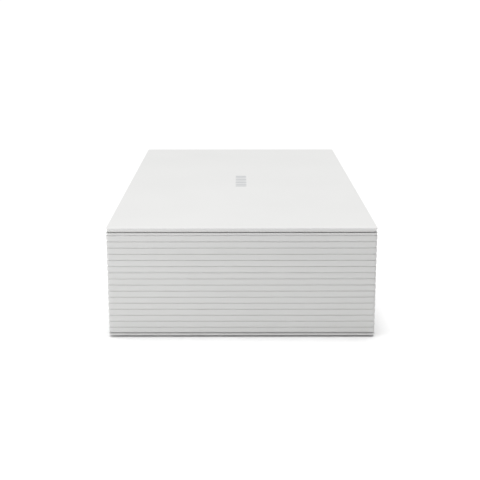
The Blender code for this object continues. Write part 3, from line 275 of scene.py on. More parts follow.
# %% Metals
# Bright nickel plate: sharp highlights, broken up by fine rolling lines.
nickel = finish("nickel_plated_steel", "#C9C6BE", 0.24, 1.0)
layer(nickel, NOISE, 0.4 * MM, stretch=(10, 1, 1), height=0.004 * MM, gloss=0.07)

# Zinc plate: cooler and duller than nickel, with the faint patches of its crystals.
zinc = finish("zinc_plated_steel", "#BFC2C4", 0.3, 1.0)
layer(zinc, CELLS, 2.5 * MM, tint="#A9ADB0", gloss=0.06)
layer(zinc, NOISE, 0.3 * MM, height=0.006 * MM)

# Galvanised sheet: a large spangle, and mill streaks along its length.
rolled_steel = finish("rolled_galvanised_sheet", "#AEB2B4", 0.38, 1.0)
layer(rolled_steel, CELLS, 9 * MM, tint="#979C9F", gloss=0.08)
layer(rolled_steel, NOISE, 0.5 * MM, stretch=(1, 14, 1), height=0.006 * MM)

# Pressure-cast aluminium: a pebbled, greyish skin that spreads the light.
cast_metal = finish("die_cast_aluminium", "#9A9C9E", 0.5, 1.0)
layer(cast_metal, NOISE, 0.9 * MM, height=0.05 * MM, gloss=0.08)
layer(cast_metal, NOISE, 14 * MM, tint="#86898C")

# Extruded aluminium: satin, with die lines that all run one way.
extruded_metal = finish("extruded_aluminium", "#A9ABAD", 0.34, 1.0)
layer(extruded_metal, NOISE, 0.4 * MM, stretch=(1, 40, 1), height=0.012 * MM, gloss=0.08)

# A polished platter: it shows what is round it, almost as a mirror does.
mirror = finish("polished_platter", "#D6D7D8", 0.05, 1.0)
layer(mirror, NOISE, 30 * MM, gloss=0.02)

# A thin flash of gold over bronze: small, warm highlights on the contacts.
gold = finish("gold_flashed_bronze", "#D9B25A", 0.22, 1.0)
layer(gold, NOISE, 0.3 * MM, height=0.003 * MM, gloss=0.05)

# Stainless steel of the cell: brushed, so its highlight is drawn out into a streak.
cell_steel = finish("stainless_cell_can", "#C4C4C0", 0.26, 1.0)
layer(cell_steel, NOISE, 0.35 * MM, stretch=(12, 1, 1), height=0.004 * MM, gloss=0.06)
print("metals:", nickel.name, zinc.name, cast_metal.name, gold.name)

# %% Rubber, board, resin, jacket and acrylic
# Rubber of the feet: hardly a highlight, and a dusty, uneven black.
foot_rubber = finish("grey_foot_rubber", "#3A3B3D", 0.82)
layer(foot_rubber, NOISE, 0.6 * MM, height=0.05 * MM, tint="#434446", gloss=0.06)

# Silicone of the grommets: smoother than the feet, with a wide, dull highlight.
soft_rubber = finish("silicone_grommet", "#2C2F33", 0.62)
layer(soft_rubber, NOISE, 0.5 * MM, height=0.02 * MM, gloss=0.06)

# Solder mask over copper: glossy green, darker where there is no track below it.
solder_mask = finish("solder_mask_board", "#0E4A2A", 0.28, Coat_Weight=0.5, Coat_Roughness=0.12)
layer(solder_mask, CELLS, 2.2 * MM, stretch=(1, 5, 1), height=0.03 * MM, tint="#166237",
      distance="MANHATTAN", feature="F1")
layer(solder_mask, NOISE, 0.25 * MM, height=0.004 * MM)

# Filled epoxy of the chips: matt near-black with a fine sandy grain.
chip_resin = finish("epoxy_mould_resin", "#1B1C1E", 0.56)
layer(chip_resin, NOISE, 0.25 * MM, height=0.01 * MM, gloss=0.07)

# Fired ceramic of the capacitors: dense tan, a little shiny at its edges.
ceramic = finish("fired_ceramic", "#B59E7C", 0.45)
layer(ceramic, NOISE, 0.4 * MM, tint="#A08A68", gloss=0.05)

# Soft PVC of the wires: dark, with a broad waxy highlight.
jacket = finish("soft_pvc_jacket", "#1E1F21", 0.48)
layer(jacket, NOISE, 0.4 * MM, height=0.012 * MM, gloss=0.06)

# Clear acrylic of the light pipe: light goes through it, and its surface is glossy.
acrylic = finish("clear_acrylic", "#F4F6F7", 0.12, IOR=1.49, Transmission_Weight=0.85)
layer(acrylic, NOISE, 2.0 * MM, height=0.004 * MM)

# Polyester label: an even satin white.
label_paper = finish("satin_polyester_label", "#D9DADB", 0.42)
layer(label_paper, NOISE, 1.5 * MM, height=0.006 * MM, tint="#CFD0D1")

# The floor is a matt painted sweep. A little glow of its own keeps it white up to the horizon.
floor_paint = finish("matt_white_sweep", "#F1F1F1", 0.9, Emission_Strength=0.03,
                     Emission_Color=(1.0, 1.0, 1.0, 1.0))
layer(floor_paint, NOISE, 40 * MM, tint="#F0F0F0")
print("finishes in all:", len(bpy.data.materials))

# %% Floor
FLOOR_REACH = 200.0                 # far enough that its edge is never seen

floor_mesh = bpy.data.meshes.new("floor")
sheet = bmesh.new()
bmesh.ops.create_grid(sheet, x_segments=1, y_segments=1, size=FLOOR_REACH)
sheet.to_mesh(floor_mesh)
sheet.free()
floor = bpy.data.objects.new("floor", floor_mesh)
floor_mesh.materials.append(floor_paint)
scene.collection.objects.link(floor)
floor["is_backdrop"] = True
print("floor:", 2 * FLOOR_REACH, "m across")

# %% [markdown]
# ## Tools for making pieces
# Most pieces are a rounded slab or a turned shape, with others cut out of it or joined to it. Each
# helper gives one object at the origin with its place in its mesh, which is how a CAD node sits.
# `settle` ends every piece: it closes the seams, turns the faces outwards, smooths the round ones,
# paints the piece and hands it to the body that carries it.

# %% Shape helpers
def keep(name, bm):
    """Make a bmesh an object of the scene."""
    mesh = bpy.data.meshes.new(name)
    bm.to_mesh(mesh)
    bm.free()
    obj = bpy.data.objects.new(name, mesh)
    scene.collection.objects.link(obj)
    return obj


def slab(name, x, y, z, corner=0.0, edge=0.0, along=Z, rims=(0, 1), corner_steps=6, edge_steps=3):
    """A box between three spans; its edges along one axis are rounded by corner, its end rims by edge."""
    bm = bmesh.new()
    size = [span[1] - span[0] for span in (x, y, z)]
    centre = Matrix.Translation([middle(span) for span in (x, y, z)])
    bmesh.ops.create_cube(bm, size=1.0, matrix=centre @ Matrix.Diagonal((*size, 1.0)))
    near = 1e-6
    if corner:
        upright = [e for e in bm.edges if abs(e.verts[0].co[along] - e.verts[1].co[along]) > near]
        bmesh.ops.bevel(bm, geom=upright, offset=corner, segments=corner_steps, profile=0.5,
                        affect="EDGES")
    if edge:
        ends = [(x, y, z)[along][which] for which in rims]
        rim = [e for e in bm.edges
               if any(all(abs(v.co[along] - end) < near for v in e.verts) for end in ends)]
        bmesh.ops.bevel(bm, geom=rim, offset=edge, segments=edge_steps, profile=0.5, affect="EDGES")
    return keep(name, bm)


def turned(name, profile, centre, direction, steps=48):
    """Turn (radius, height) points about an axis through centre; heights run along direction."""
    bm = bmesh.new()
    verts = [bm.verts.new((radius, 0.0, height)) for radius, height in profile]
    ring = zip(verts, verts[1:] + verts[:1]) if profile[0][0] > 0 else zip(verts, verts[1:])
    edges = [bm.edges.new(pair) for pair in ring]
    bmesh.ops.spin(bm, geom=verts + edges, axis=(0, 0, 1), cent=(0, 0, 0), steps=steps,
                   angle=math.tau, use_merge=True)
    bmesh.ops.remove_doubles(bm, verts=bm.verts, dist=1e-7)
    bmesh.ops.recalc_face_normals(bm, faces=bm.faces)
    turn = Vector((0, 0, 1)).rotation_difference(Vector(direction)).to_matrix().to_4x4()
    bm.transform(Matrix.Translation(centre) @ turn)
    return keep(name, bm)


def rod(name, centre, radius, length, axis, steps=32):
    """A straight round bar about its middle; mostly a tool for a hole."""
    half = length / 2
    return turned(name, [(0, half), (radius, half), (radius, -half), (0, -half)], centre, AXES[axis],
                  steps)


def freeze(piece):
    """Take what the modifiers make as the piece's own mesh."""
    evaluated = piece.evaluated_get(bpy.context.evaluated_depsgraph_get())
    mesh = bpy.data.meshes.new_from_object(evaluated)
    piece.modifiers.clear()
    piece.data = mesh
    return piece


def carve(piece, *tools, how="DIFFERENCE"):
    """Cut the tools out of a piece, or join them to it, and drop them."""
    for tool in tools:
        step = piece.modifiers.new(tool.name, "BOOLEAN")
        step.operation = how
        step.solver = "EXACT"
        step.object = tool
    freeze(piece)
    for tool in tools:
        bpy.data.objects.remove(tool)
    return piece


def settle(piece, body, paint, slot, *nodes, sharp=35):
    """Close, smooth, paint and hand over a piece; the nodes are the CAD nodes that it stands for."""
    bm = bmesh.new()
    bm.from_mesh(piece.data)
    bmesh.ops.remove_doubles(bm, verts=bm.verts, dist=1e-6)
    bmesh.ops.dissolve_degenerate(bm, edges=bm.edges, dist=1e-7)
    bmesh.ops.recalc_face_normals(bm, faces=bm.faces)
    loose = sum(not edge.is_manifold for edge in bm.edges)
    bm.to_mesh(piece.data)
    bm.free()
    piece.data.shade_smooth()
    piece.data.set_sharp_from_angle(angle=math.radians(sharp))
    weigh = piece.modifiers.new("weigh", "WEIGHTED_NORMAL")
    weigh.keep_sharp = True
    freeze(piece)
    if paint:
        piece.data.materials.clear()
        piece.data.materials.append(paint)
    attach(piece, body)
    if nodes:
        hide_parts(*nodes)
    print(f"{piece.name}: {len(piece.data.polygons)} faces" + (f", {loose} open edges" * bool(loose)))
    return piece


# %% [markdown]
# Geometry Nodes make whatever repeats. `new_tree` starts a tree with named inputs, and `grow` runs
# it on a small mesh whose points are the places to fill, then keeps the result as a plain mesh.
# Three steps turn up in many trees: a row of points, a row of bars, and a sheet made solid.

# %% Geometry node helpers
math_node = "ShaderNodeMath"
WELD = 1e-6                         # points nearer than this become one


def new_tree(name, **inputs):
    """An empty tree with a geometry input and output and the named inputs, and its input node."""
    tree = bpy.data.node_groups.new(name, "GeometryNodeTree")
    for side in ("INPUT", "OUTPUT"):
        tree.interface.new_socket("Geometry", in_out=side, socket_type="NodeSocketGeometry")
    for label, kind in inputs.items():
        tree.interface.new_socket(label, in_out="INPUT", socket_type="NodeSocket" + kind)
    tree.interface.new_socket("Finish", in_out="INPUT", socket_type="NodeSocketMaterial")
    return tree, add(tree, "NodeGroupInput").outputs


def end_tree(tree, geometry, given):
    """The last three nodes of every tree: real geometry, its material, and the output."""
    real = add(tree, "GeometryNodeRealizeInstances", {"Geometry": geometry})
    painted = add(tree, "GeometryNodeSetMaterial", {"Geometry": real, "Material": given["Finish"]})
    add(tree, "NodeGroupOutput", {"Geometry": painted})


def solid(tree, sheet, **push):
    """Give a flat or bent sheet its thickness, and close it at the back."""
    push = {label.replace("_", " "): value for label, value in push.items()}
    thick = add(tree, "GeometryNodeExtrudeMesh", {"Mesh": sheet, "Individual": False, **push})
    back = add(tree, "GeometryNodeFlipFaces", {"Mesh": sheet})
    closed = add(tree, "GeometryNodeJoinGeometry")
    for half in (thick, back):
        tree.links.new(half.outputs["Mesh"], closed.inputs[0])
    return add(tree, "GeometryNodeMergeByDistance", {"Geometry": closed, "Distance": WELD})


def row_of(tree, count, pitch, axis, **aside):
    """Points at a pitch in a line along X or Y, with zero in the middle."""
    gaps = add(tree, math_node, {0: count, 1: 1.0}, operation="SUBTRACT")
    reach = add(tree, math_node, {0: gaps, 1: pitch}, operation="MULTIPLY")
    start = add(tree, math_node, {0: reach, 1: -0.5}, operation="MULTIPLY")
    start = add(tree, "ShaderNodeCombineXYZ", {axis: start, **aside})
    step = add(tree, "ShaderNodeCombineXYZ", {axis: pitch})
    return add(tree, "GeometryNodeMeshLine",
               {"Count": count, "Start Location": start, "Offset": step})


def round_bars(tree, points, length, width, share):
    """A flat bar at every point, stretched to its length before its corners are rounded."""
    stretch = add(tree, "ShaderNodeCombineXYZ", {"X": length, "Y": 1.0, "Z": 1.0})
    bar = add(tree, "GeometryNodeCurvePrimitiveQuadrilateral", {"Width": 1.0, "Height": width})
    laid = add(tree, "GeometryNodeInstanceOnPoints",
               {"Points": points, "Instance": bar, "Scale": stretch})
    laid = add(tree, "GeometryNodeRealizeInstances", {"Geometry": laid})
    radius = add(tree, math_node, {0: width, 1: share}, operation="MULTIPLY")
    laid = add(tree, "GeometryNodeFilletCurve", {"Curve": laid, "Count": 5, "Radius": radius},
               mode="POLY")
    return add(tree, "GeometryNodeFillCurve", {"Curve": laid}, mode="NGONS")


def grow(name, tree, places=(), **values):
    """Run a tree on points at the given places and keep its result as a plain mesh."""
    mesh = bpy.data.meshes.new(name)
    mesh.from_pydata([tuple(place) for place in places], [], [])
    piece = bpy.data.objects.new(name, mesh)
    scene.collection.objects.link(piece)
    nodes = piece.modifiers.new(tree.name, "NODES")
    nodes.node_group = tree
    sockets = {item.name: item for item in tree.interface.items_tree if item.in_out == "INPUT"}
    for label, value in values.items():
        nodes[sockets[label].identifier] = value
    return freeze(piece)


def stamp(name, tree, master, places, **values):
    """Copies of a small master at every place; the master itself is dropped."""
    piece = grow(name, tree, places, Master=master, **values)
    bpy.data.objects.remove(master)
    return piece


# %% [markdown]
# ## The ribbed wall
# The wall is one moulding with sixteen flat slats between narrow grooves. It could be a box with
# sixteen rings cut out of it, but the section follows a rule, so a tree draws it: every four points
# of the section are one groove, their corners are rounded, and the section is swept round the plan.
# The sweep makes an outer skin thinner than the corner's radius, because a deeper section would
# fold over itself at the corners. A plain liner, the corner columns and the rear opening follow.

# %% Ribbed skin
GROOVES = 17                        # the lowest one is half in the wall and half in the base
GROOVE_WIDTH = 1.05 * MM
GROOVE_DEPTH = 0.42 * MM
LIP = 0.65 * MM                     # plain band above the first groove
SLAT_EDGE = 0.2 * MM               # rounding of a slat's edges
SKIN = 1.3 * MM
CORNER = 1.8 * MM
FIRST_GROOVE = SLEEVE[Z][1] - LIP - GROOVE_WIDTH / 2
LAST_GROOVE = SLEEVE[Z][0] - GAP / 2
SLAT_PITCH = (FIRST_GROOVE - LAST_GROOVE) / (GROOVES - 1)

ribs, given = new_tree("ribbed_skin", Width="Float", Depth="Float", Corner="Float", Grooves="Int",
                       First="Float", Pitch="Float", Bottom="Float", Top="Float", Groove_Width="Float",
                       Groove_Depth="Float", Skin="Float", Edge="Float")
count = add(ribs, math_node, {0: given["Grooves"], 1: 4.0, 2: 2.0}, operation="MULTIPLY_ADD")
line = add(ribs, "GeometryNodeMeshLine", {"Count": count})
index = add(ribs, "GeometryNodeInputIndex")
quarter = add(ribs, math_node, {0: index, 1: 4.0}, operation="DIVIDE")
groove = add(ribs, math_node, {0: quarter}, operation="FLOOR")
turn = add(ribs, math_node, {0: index, 1: 4.0}, operation="MODULO")
from_top = add(ribs, math_node, {0: given["Grooves"], 1: groove}, operation="SUBTRACT")
from_first = add(ribs, math_node, {0: from_top, 1: 1.0}, operation="SUBTRACT")
drop = add(ribs, math_node, {0: from_first, 1: given["Pitch"]}, operation="MULTIPLY")
centre = add(ribs, math_node, {0: given["First"], 1: drop}, operation="SUBTRACT")
upper = add(ribs, math_node, {0: turn, 1: 1.5}, operation="GREATER_THAN")
side = add(ribs, math_node, {0: upper, 1: 0.5}, operation="SUBTRACT")
level = add(ribs, math_node, {0: side, 1: given["Groove_Width"], 2: centre}, operation="MULTIPLY_ADD")
level = add(ribs, "ShaderNodeClamp", {"Value": level, "Min": given["Bottom"], "Max": given["Top"]})
sunk = add(ribs, math_node, {0: turn, 1: 1.5, 2: 0.75}, operation="COMPARE")
depth = add(ribs, math_node, {0: sunk, 1: given["Groove_Depth"]}, operation="MULTIPLY")
last = add(ribs, math_node, {0: count, 1: 1.0}, operation="SUBTRACT")
at_start = add(ribs, math_node, {0: index, 1: 0.0, 2: 0.1}, operation="COMPARE")
at_end = add(ribs, math_node, {0: index, 1: last, 2: 0.1}, operation="COMPARE")
inner = add(ribs, math_node, {0: at_start, 1: at_end}, operation="ADD")
inner = add(ribs, math_node, {0: inner, 1: given["Skin"]}, operation="MULTIPLY")
depth = add(ribs, math_node, {0: depth, 1: inner}, operation="MAXIMUM")
across = add(ribs, math_node, {0: depth, 1: -1.0}, operation="MULTIPLY")
down = add(ribs, math_node, {0: level, 1: -1.0}, operation="MULTIPLY")
spot = add(ribs, "ShaderNodeCombineXYZ", {"X": across, "Y": down})
bent = add(ribs, "GeometryNodeSetPosition", {"Geometry": line, "Position": spot})
section = add(ribs, "GeometryNodeMeshToCurve", {"Mesh": bent})
section = add(ribs, "GeometryNodeSetSplineCyclic", {"Geometry": section, "Cyclic": True})
section = add(ribs, "GeometryNodeFilletCurve", {"Curve": section, "Count": 3, "Radius": given["Edge"],
                                                "Limit Radius": True}, mode="POLY")
plan = add(ribs, "GeometryNodeCurvePrimitiveQuadrilateral",
           {"Width": given["Width"], "Height": given["Depth"]})
plan = add(ribs, "GeometryNodeFilletCurve", {"Curve": plan, "Count": 8, "Radius": given["Corner"]},
           mode="POLY")
swept = add(ribs, "GeometryNodeCurveToMesh", {"Curve": plan, "Profile Curve": section})
end_tree(ribs, swept, given)

WIDTH = SLEEVE[X][1] - SLEEVE[X][0]
DEPTH = SLEEVE[Y][1] - SLEEVE[Y][0]
wall = grow("ribbed_wall", ribs, Width=WIDTH, Depth=DEPTH, Corner=CORNER, Grooves=GROOVES,
            First=FIRST_GROOVE, Pitch=SLAT_PITCH, Bottom=SLEEVE[Z][0], Top=SLEEVE[Z][1],
            Groove_Width=GROOVE_WIDTH, Groove_Depth=GROOVE_DEPTH, Skin=SKIN, Edge=SLAT_EDGE,
            Finish=white_abs)
print("skin:", len(wall.data.vertices), "points; slat pitch", round(SLAT_PITCH / MM, 3), "mm")

# %% [markdown]
# The liner gives the wall its real thickness, the columns take the screws from below and the lid's
# pegs from above, and the opening at the rear leaves a frame for the panel to sit behind. A solid
# liner minus a solid hollow is quicker to write than a shell with a wall, and it stays closed.

# %% Liner, columns and rear opening
WALL = 2.4 * MM
COLUMN = 9.0 * MM
RAISED = 0.05 * MM                  # keeps coplanar faces apart in a Boolean
OPENING_X = inset(SLEEVE[X], 9.0 * MM)
OPENING_Z = (7.0 * MM, 61.0 * MM)

inner_x = inset(SLEEVE[X], WALL)
inner_y = inset(SLEEVE[Y], WALL)
liner = slab("liner", inset(SLEEVE[X], 0.9 * MM), inset(SLEEVE[Y], 0.9 * MM),
             inset(SLEEVE[Z], RAISED), corner=1.0 * MM)
hollow = slab("hollow", inner_x, inner_y, inset(SLEEVE[Z], -MM), corner=0.6 * MM)
carve(liner, hollow)
carve(wall, liner, how="UNION")

SCREWS = [f"case_screw_{end}_{side}" for end in ("front", "rear") for side in ("left", "right")]
column_z = (SLEEVE[Z][0] + 2.4 * MM, LID_BOTTOM - GAP)
for node in SCREWS:
    spot = centre_of(node)
    out = math.copysign(0.5 * MM, spot.x)
    near_wall = math.copysign(COLUMN / 2, spot.x) + spot.x + out
    column_x = sorted((spot.x - math.copysign(COLUMN / 2, spot.x), near_wall))
    reach = 0.5 * MM if spot.y < 0 else 0.0
    column_y = (spot.y - COLUMN / 2 - reach, spot.y + COLUMN / 2)
    column = slab("column", column_x, column_y, column_z, corner=1.2 * MM, edge=0.4 * MM)
    carve(wall, column, how="UNION")
    carve(wall, rod("pilot", (spot.x, spot.y, column_z[0]), 1.5 * MM, 28.0 * MM, Z),
          rod("socket", (spot.x, spot.y, column_z[1]), 2.3 * MM, 16.6 * MM, Z))
carve(wall, slab("opening", OPENING_X, (inner_y[1] - MM, SLEEVE[Y][1] + MM), OPENING_Z,
                 corner=1.6 * MM, along=Y))
settle(wall, "casing", white_abs, "case_plastic", "ribbed_sleeve")

# %% [markdown]
# ## Lid and base
# The lid is a flat plate that laps the whole wall and stands off it by a thin shadow gap. Its top
# edge has a small radius, which catches the overhead light as one bright line. The base tray is as
# thin; its lower edge is tucked in, so the box seems to float on its feet.

# %% Lid
LID_EDGE = 0.4 * MM
PEG = 2.0 * MM
DRAFT = 0.8 * MM                    # the edge leans in to leave the mould, and so looks darker

lid = slab("lid_moulding", LID[X], LID[Y], (LID_BOTTOM, LID[Z][1]), corner=CORNER, edge=LID_EDGE,
           rims=(1,), corner_steps=10, edge_steps=4)
for vert in lid.data.vertices:
    if vert.co.z < LID_BOTTOM + 0.01 * MM:
        vert.co.x -= math.copysign(DRAFT, vert.co.x)
        vert.co.y -= math.copysign(DRAFT, vert.co.y)
for node in SCREWS:
    spot = centre_of(node)
    tip = LID[Z][0]
    profile = [(0, tip), (PEG - 0.4 * MM, tip), (PEG, tip + 0.4 * MM), (PEG, LID_BOTTOM + MM),
               (0, LID_BOTTOM + MM)]
    carve(lid, turned("peg", profile, (spot.x, spot.y, 0), (0, 0, 1), 24), how="UNION")
settle(lid, "casing", white_abs, "case_plastic", "top_cover")

# %% Base tray
BASE_TOP = SLEEVE[Z][0] - GAP
BASE = spans("base_tray")
FEET = [f"foot_{end}_{side}" for end in ("front", "rear") for side in ("left", "right")]
BOARD = spans("main_board")
PIN_INSET = 3.2 * MM
PINS = [(BOARD[X][0] + PIN_INSET, BOARD[Y][0] + PIN_INSET),
        (BOARD[X][1] - PIN_INSET, BOARD[Y][0] + PIN_INSET),
        (BOARD[X][1] - PIN_INSET, BOARD[Y][1] - 16.0 * MM),
        (BOARD[X][0] + 23.2 * MM, BOARD[Y][1] - 15.0 * MM)]
DRIVE = spans("drive_lid")
STAKES = [(sign * (DRIVE[X][1] - 8.0 * MM), y) for sign in (-1, 1)
          for y in (DRIVE[Y][0] + 12.0 * MM, DRIVE[Y][1] - 22.0 * MM)]
CRADLE = spans("drive_cradle")

base = slab("base_moulding", BASE[X], BASE[Y], (BASE[Z][0], BASE_TOP - GROOVE_WIDTH / 2 + GAP / 2),
            corner=CORNER, edge=1.3 * MM, rims=(0,), corner_steps=10, edge_steps=5)
upper = slab("upper", inset(BASE[X], GROOVE_DEPTH), inset(BASE[Y], GROOVE_DEPTH),
             (BASE[Z][0] + 0.9 * MM, BASE_TOP), corner=1.5 * MM)
carve(base, upper, how="UNION")
for sign in (-1, 1):
    rim = sorted((sign * (inner_x[1] - GAP), sign * (inner_x[1] - GAP - 1.6 * MM)))
    reach = SLEEVE[Y][1] - 2 * COLUMN
    carve(base, slab("side_rim", rim, (-reach, reach), (BASE_TOP - MM, BASE_TOP + 6.0 * MM),
                     edge=0.4 * MM, rims=(1,)), how="UNION")
for node in SCREWS:
    spot = centre_of(node)
    pad = slab("pad", around(spot.x, 7.4 * MM), around(spot.y, 7.4 * MM),
               (BASE_TOP - MM, BASE_TOP + 2.4 * MM), corner=MM)
    carve(base, pad, how="UNION")
    carve(base, rod("seat", (spot.x, spot.y, BASE[Z][0]), 3.2 * MM, 4.4 * MM, Z),
          rod("passage", (spot.x, spot.y, BASE_TOP), 1.55 * MM, 12.0 * MM, Z))


def post(x, y, foot, shoulder, radius, pin_radius, pin_top):
    """A boss with a thinner pin on it, turned in one piece."""
    profile = [(0, pin_top), (pin_radius - 0.3 * MM, pin_top), (pin_radius, pin_top - 0.3 * MM),
               (pin_radius, shoulder), (radius, shoulder), (radius, foot), (0, foot)]
    return turned("post", profile, (x, y, 0), (0, 0, 1), 24)


for spots, level, radius, pin_radius, pin_rise in (
        (PINS, BOARD[Z][0], 3.0 * MM, 1.3 * MM, 3.0 * MM),
        (STAKES, CRADLE[Z][0], 4.0 * MM, 1.6 * MM, 2.8 * MM)):
    for x, y in spots:
        carve(base, post(x, y, BASE_TOP - MM, level - GAP, radius, pin_radius, level + pin_rise),
              how="UNION")
for node in FEET:
    spot = centre_of(node)
    carve(base, rod("foot_seat", (spot.x, spot.y, BASE[Z][0]), 7.3 * MM, 1.2 * MM, Z, 64))
print("base: posts", len(PINS) + len(STAKES), " seats", len(FEET) + len(SCREWS))

# %% [markdown]
# ### Slots
# Air comes in through the base and leaves through the grille at the rear. Both are rows of slots
# with round ends, so one tree draws them: it lays a row for each slot, cuts each row to the chord
# of a circle or to a given length, rounds the ends and gives the rows depth. The rows are a tool
# for a Boolean cut.

# %% Slot tree
rows, given = new_tree("slot_rows", Rows="Int", Pitch="Float", Width="Float", Length="Float",
                       Radius="Float", Depth="Float", Centre="Vector", Turn="Vector")
points = row_of(rows, given["Rows"], given["Pitch"], "Y")
height = add(rows, "ShaderNodeSeparateXYZ", {"Vector": add(rows, "GeometryNodeInputPosition")})
square = add(rows, math_node, {0: height.outputs["Y"], 1: height.outputs["Y"]}, operation="MULTIPLY")
whole = add(rows, math_node, {0: given["Radius"], 1: given["Radius"]}, operation="MULTIPLY")
left = add(rows, math_node, {0: whole, 1: square}, operation="SUBTRACT")
half_chord = add(rows, math_node, {0: left}, operation="SQRT")
chord = add(rows, math_node, {0: half_chord, 1: 2.0}, operation="MULTIPLY")
chord = add(rows, math_node, {0: chord, 1: given["Length"]}, operation="MINIMUM")
face = round_bars(rows, points, chord, given["Width"], 0.49)
welded = solid(rows, face, Offset_Scale=given["Depth"])
half_depth = add(rows, math_node, {0: given["Depth"], 1: -0.5}, operation="MULTIPLY")
centred = add(rows, "GeometryNodeTransform",
              {"Geometry": welded, "Translation": add(rows, "ShaderNodeCombineXYZ", {"Z": half_depth})})
placed = add(rows, "GeometryNodeTransform", {"Geometry": centred, "Translation": given["Centre"],
                                             "Rotation": given["Turn"]})
end_tree(rows, placed, given)

spindle = centre_of("platter_stack")
for sign in (-1, 1):
    intake = grow("intake", rows, Rows=10, Pitch=8.0 * MM, Width=3.0 * MM, Length=34.0 * MM, Radius=1.0,
                  Depth=8.0 * MM, Centre=(sign * 26.0 * MM, spindle.y + 12.0 * MM, BASE[Z][0]),
                  Turn=(0.0, 0.0, 0.0), Finish=white_abs)
    carve(base, intake)
settle(base, "casing", white_abs, "case_plastic", "base_tray")

# %% [markdown]
# Each foot is a turned disc glued into a seat of the base. Its underside is dished, so it stands on
# a ring and doesn't rock.

# %% Feet
for node in FEET:
    spot = centre_of(node)
    (low, high) = spans(node)[Z]
    ring = spans(node)[X][1] - spot.x
    profile = [(0, high), (ring, high), (ring, low + 0.5 * MM), (ring - 0.2 * MM, low + 0.15 * MM),
               (ring - 0.7 * MM, low), (ring - 2.0 * MM, low), (ring - 2.3 * MM, low + 0.3 * MM),
               (0, low + 0.3 * MM)]
    foot = turned(node + "_pad", profile, (spot.x, spot.y, 0), (0, 0, 1), 64)
    settle(foot, "casing", foot_rubber, "foot_rubber", node)

# %% [markdown]
# ### The mark on the lid
# The lid carries one small grey print at its middle, read from the side. A generic sign takes its
# place: a row of seven equal rounded bars, which mean nothing and belong to nobody. Each bar is an
# instance, stretched before its corners are rounded, so that all corners keep one radius.

# %% Printed mark
mark, given = new_tree("equal_bars", Bars="Int", Pitch="Float", Width="Float", Length="Float",
                       Film="Float", Centre="Vector")
points = row_of(mark, given["Bars"], given["Pitch"], "Y")
face = round_bars(mark, points, given["Length"], given["Width"], 0.45)
welded = solid(mark, face, Offset_Scale=given["Film"])
placed = add(mark, "GeometryNodeTransform", {"Geometry": welded, "Translation": given["Centre"]})
end_tree(mark, placed, given)

INK = 0.02 * MM
print_mark = grow("printed_mark", mark, Bars=7, Pitch=5.6 * MM, Width=3.0 * MM, Length=8.0 * MM,
                  Film=INK, Centre=(0.0, 0.0, LID[Z][1] + INK / 4), Finish=grey_ink)
settle(print_mark, "casing", None, "case_plastic")

# %% [markdown]
# ## Rear panel
# The panel sits behind the opening, a little sunk, and carries the grille, the windows for the
# sockets, the button and the lamp. Each window is cut to the piece that looks out of it, read from
# the frame, plus the gap that moulded parts keep. Two short posts hold the switch board.

# %% Rear panel
PANEL = spans("rear_panel")
PANEL_SHEET = 2.0 * MM
PANEL_OUT = PANEL[Y][1]
PANEL_IN = PANEL_OUT - PANEL_SHEET
FAN = spans("fan_frame")
FAN_SCREWS = [f"fan_screw_{height}_{side}" for height in ("lower", "upper") for side in ("left", "right")]
SIDES = ("left", "right")
fan_hub = centre_of("fan_frame")
fan_bore = (FAN[X][1] - FAN[X][0]) / 2 - 1.4 * MM
button = centre_of("power_button")
pipe = centre_of("light_pipe")
pin = centre_of("reset_button")
lock = centre_of("lock_plate")

rear = slab("rear_moulding", PANEL[X], (PANEL_IN, PANEL_OUT), PANEL[Z], corner=1.2 * MM, along=Y)
SUNK = 0.35 * MM                    # depth of the socket field and of the ring round the grille
field = slab("socket_field", (spans("lan_jack")[X][0] - 3.0 * MM, spans("dc_jack")[X][1] + 3.0 * MM),
             (PANEL_OUT - SUNK, PANEL_OUT + MM),
             (PANEL[Z][0] + 4.4 * MM, spans("lan_jack")[Z][1] + 2.4 * MM), corner=2.0 * MM, along=Y)
ring = turned("grille_ring", [(fan_bore - 1.2 * MM, 0.4 * MM), (fan_bore - 0.4 * MM, 0.4 * MM),
                              (fan_bore - 0.4 * MM, -SUNK), (fan_bore - 1.2 * MM, -SUNK)],
              (fan_hub.x, PANEL_OUT, fan_hub.z), (0, 1, 0), 72)
carve(rear, field, ring)
through = (PANEL_IN - MM, PANEL_OUT + MM)
for node in ("lan_jack", "usb_shell_left", "usb_shell_right", "dc_jack"):
    socket = spans(node)
    carve(rear, slab("window", inset(socket[X], -GAP), through, inset(socket[Z], -GAP), corner=0.6 * MM,
                     along=Y))
grille = grow("grille", rows, Rows=10, Pitch=4.0 * MM, Width=2.4 * MM, Length=1.0,
              Radius=fan_bore - 3.6 * MM, Depth=10.0 * MM, Centre=(fan_hub.x, PANEL_OUT, fan_hub.z),
              Turn=(math.radians(90), 0.0, 0.0), Finish=white_abs)
LOCK_SLOT = (7.0 * MM, 3.0 * MM)
carve(rear, grille, slab("lock_slot", around(lock.x, LOCK_SLOT[0]), through, around(lock.z, LOCK_SLOT[1]),
                         corner=0.8 * MM, along=Y))
for spot, radius in [(button, 6.8 * MM), (pipe, 1.8 * MM), (pin, 1.5 * MM)] + \
        [(centre_of(node), 2.1 * MM) for node in FAN_SCREWS]:
    carve(rear, rod("round_hole", (spot.x, PANEL_OUT, spot.z), radius, 10.0 * MM, Y, 40))
switch = spans("switch_board")
for x, z in ((pipe.x - 4.0 * MM, pipe.z - 6.0 * MM), (button.x + 4.5 * MM, button.z - 9.6 * MM)):
    reach = PANEL_IN + 0.5 * MM - (switch[Y][1] + GAP)
    carve(rear, rod("switch_post", (x, PANEL_IN + 0.5 * MM - reach / 2, z), 1.6 * MM, reach, Y, 20),
          how="UNION")
settle(rear, "casing", white_abs, "case_plastic", "rear_panel")

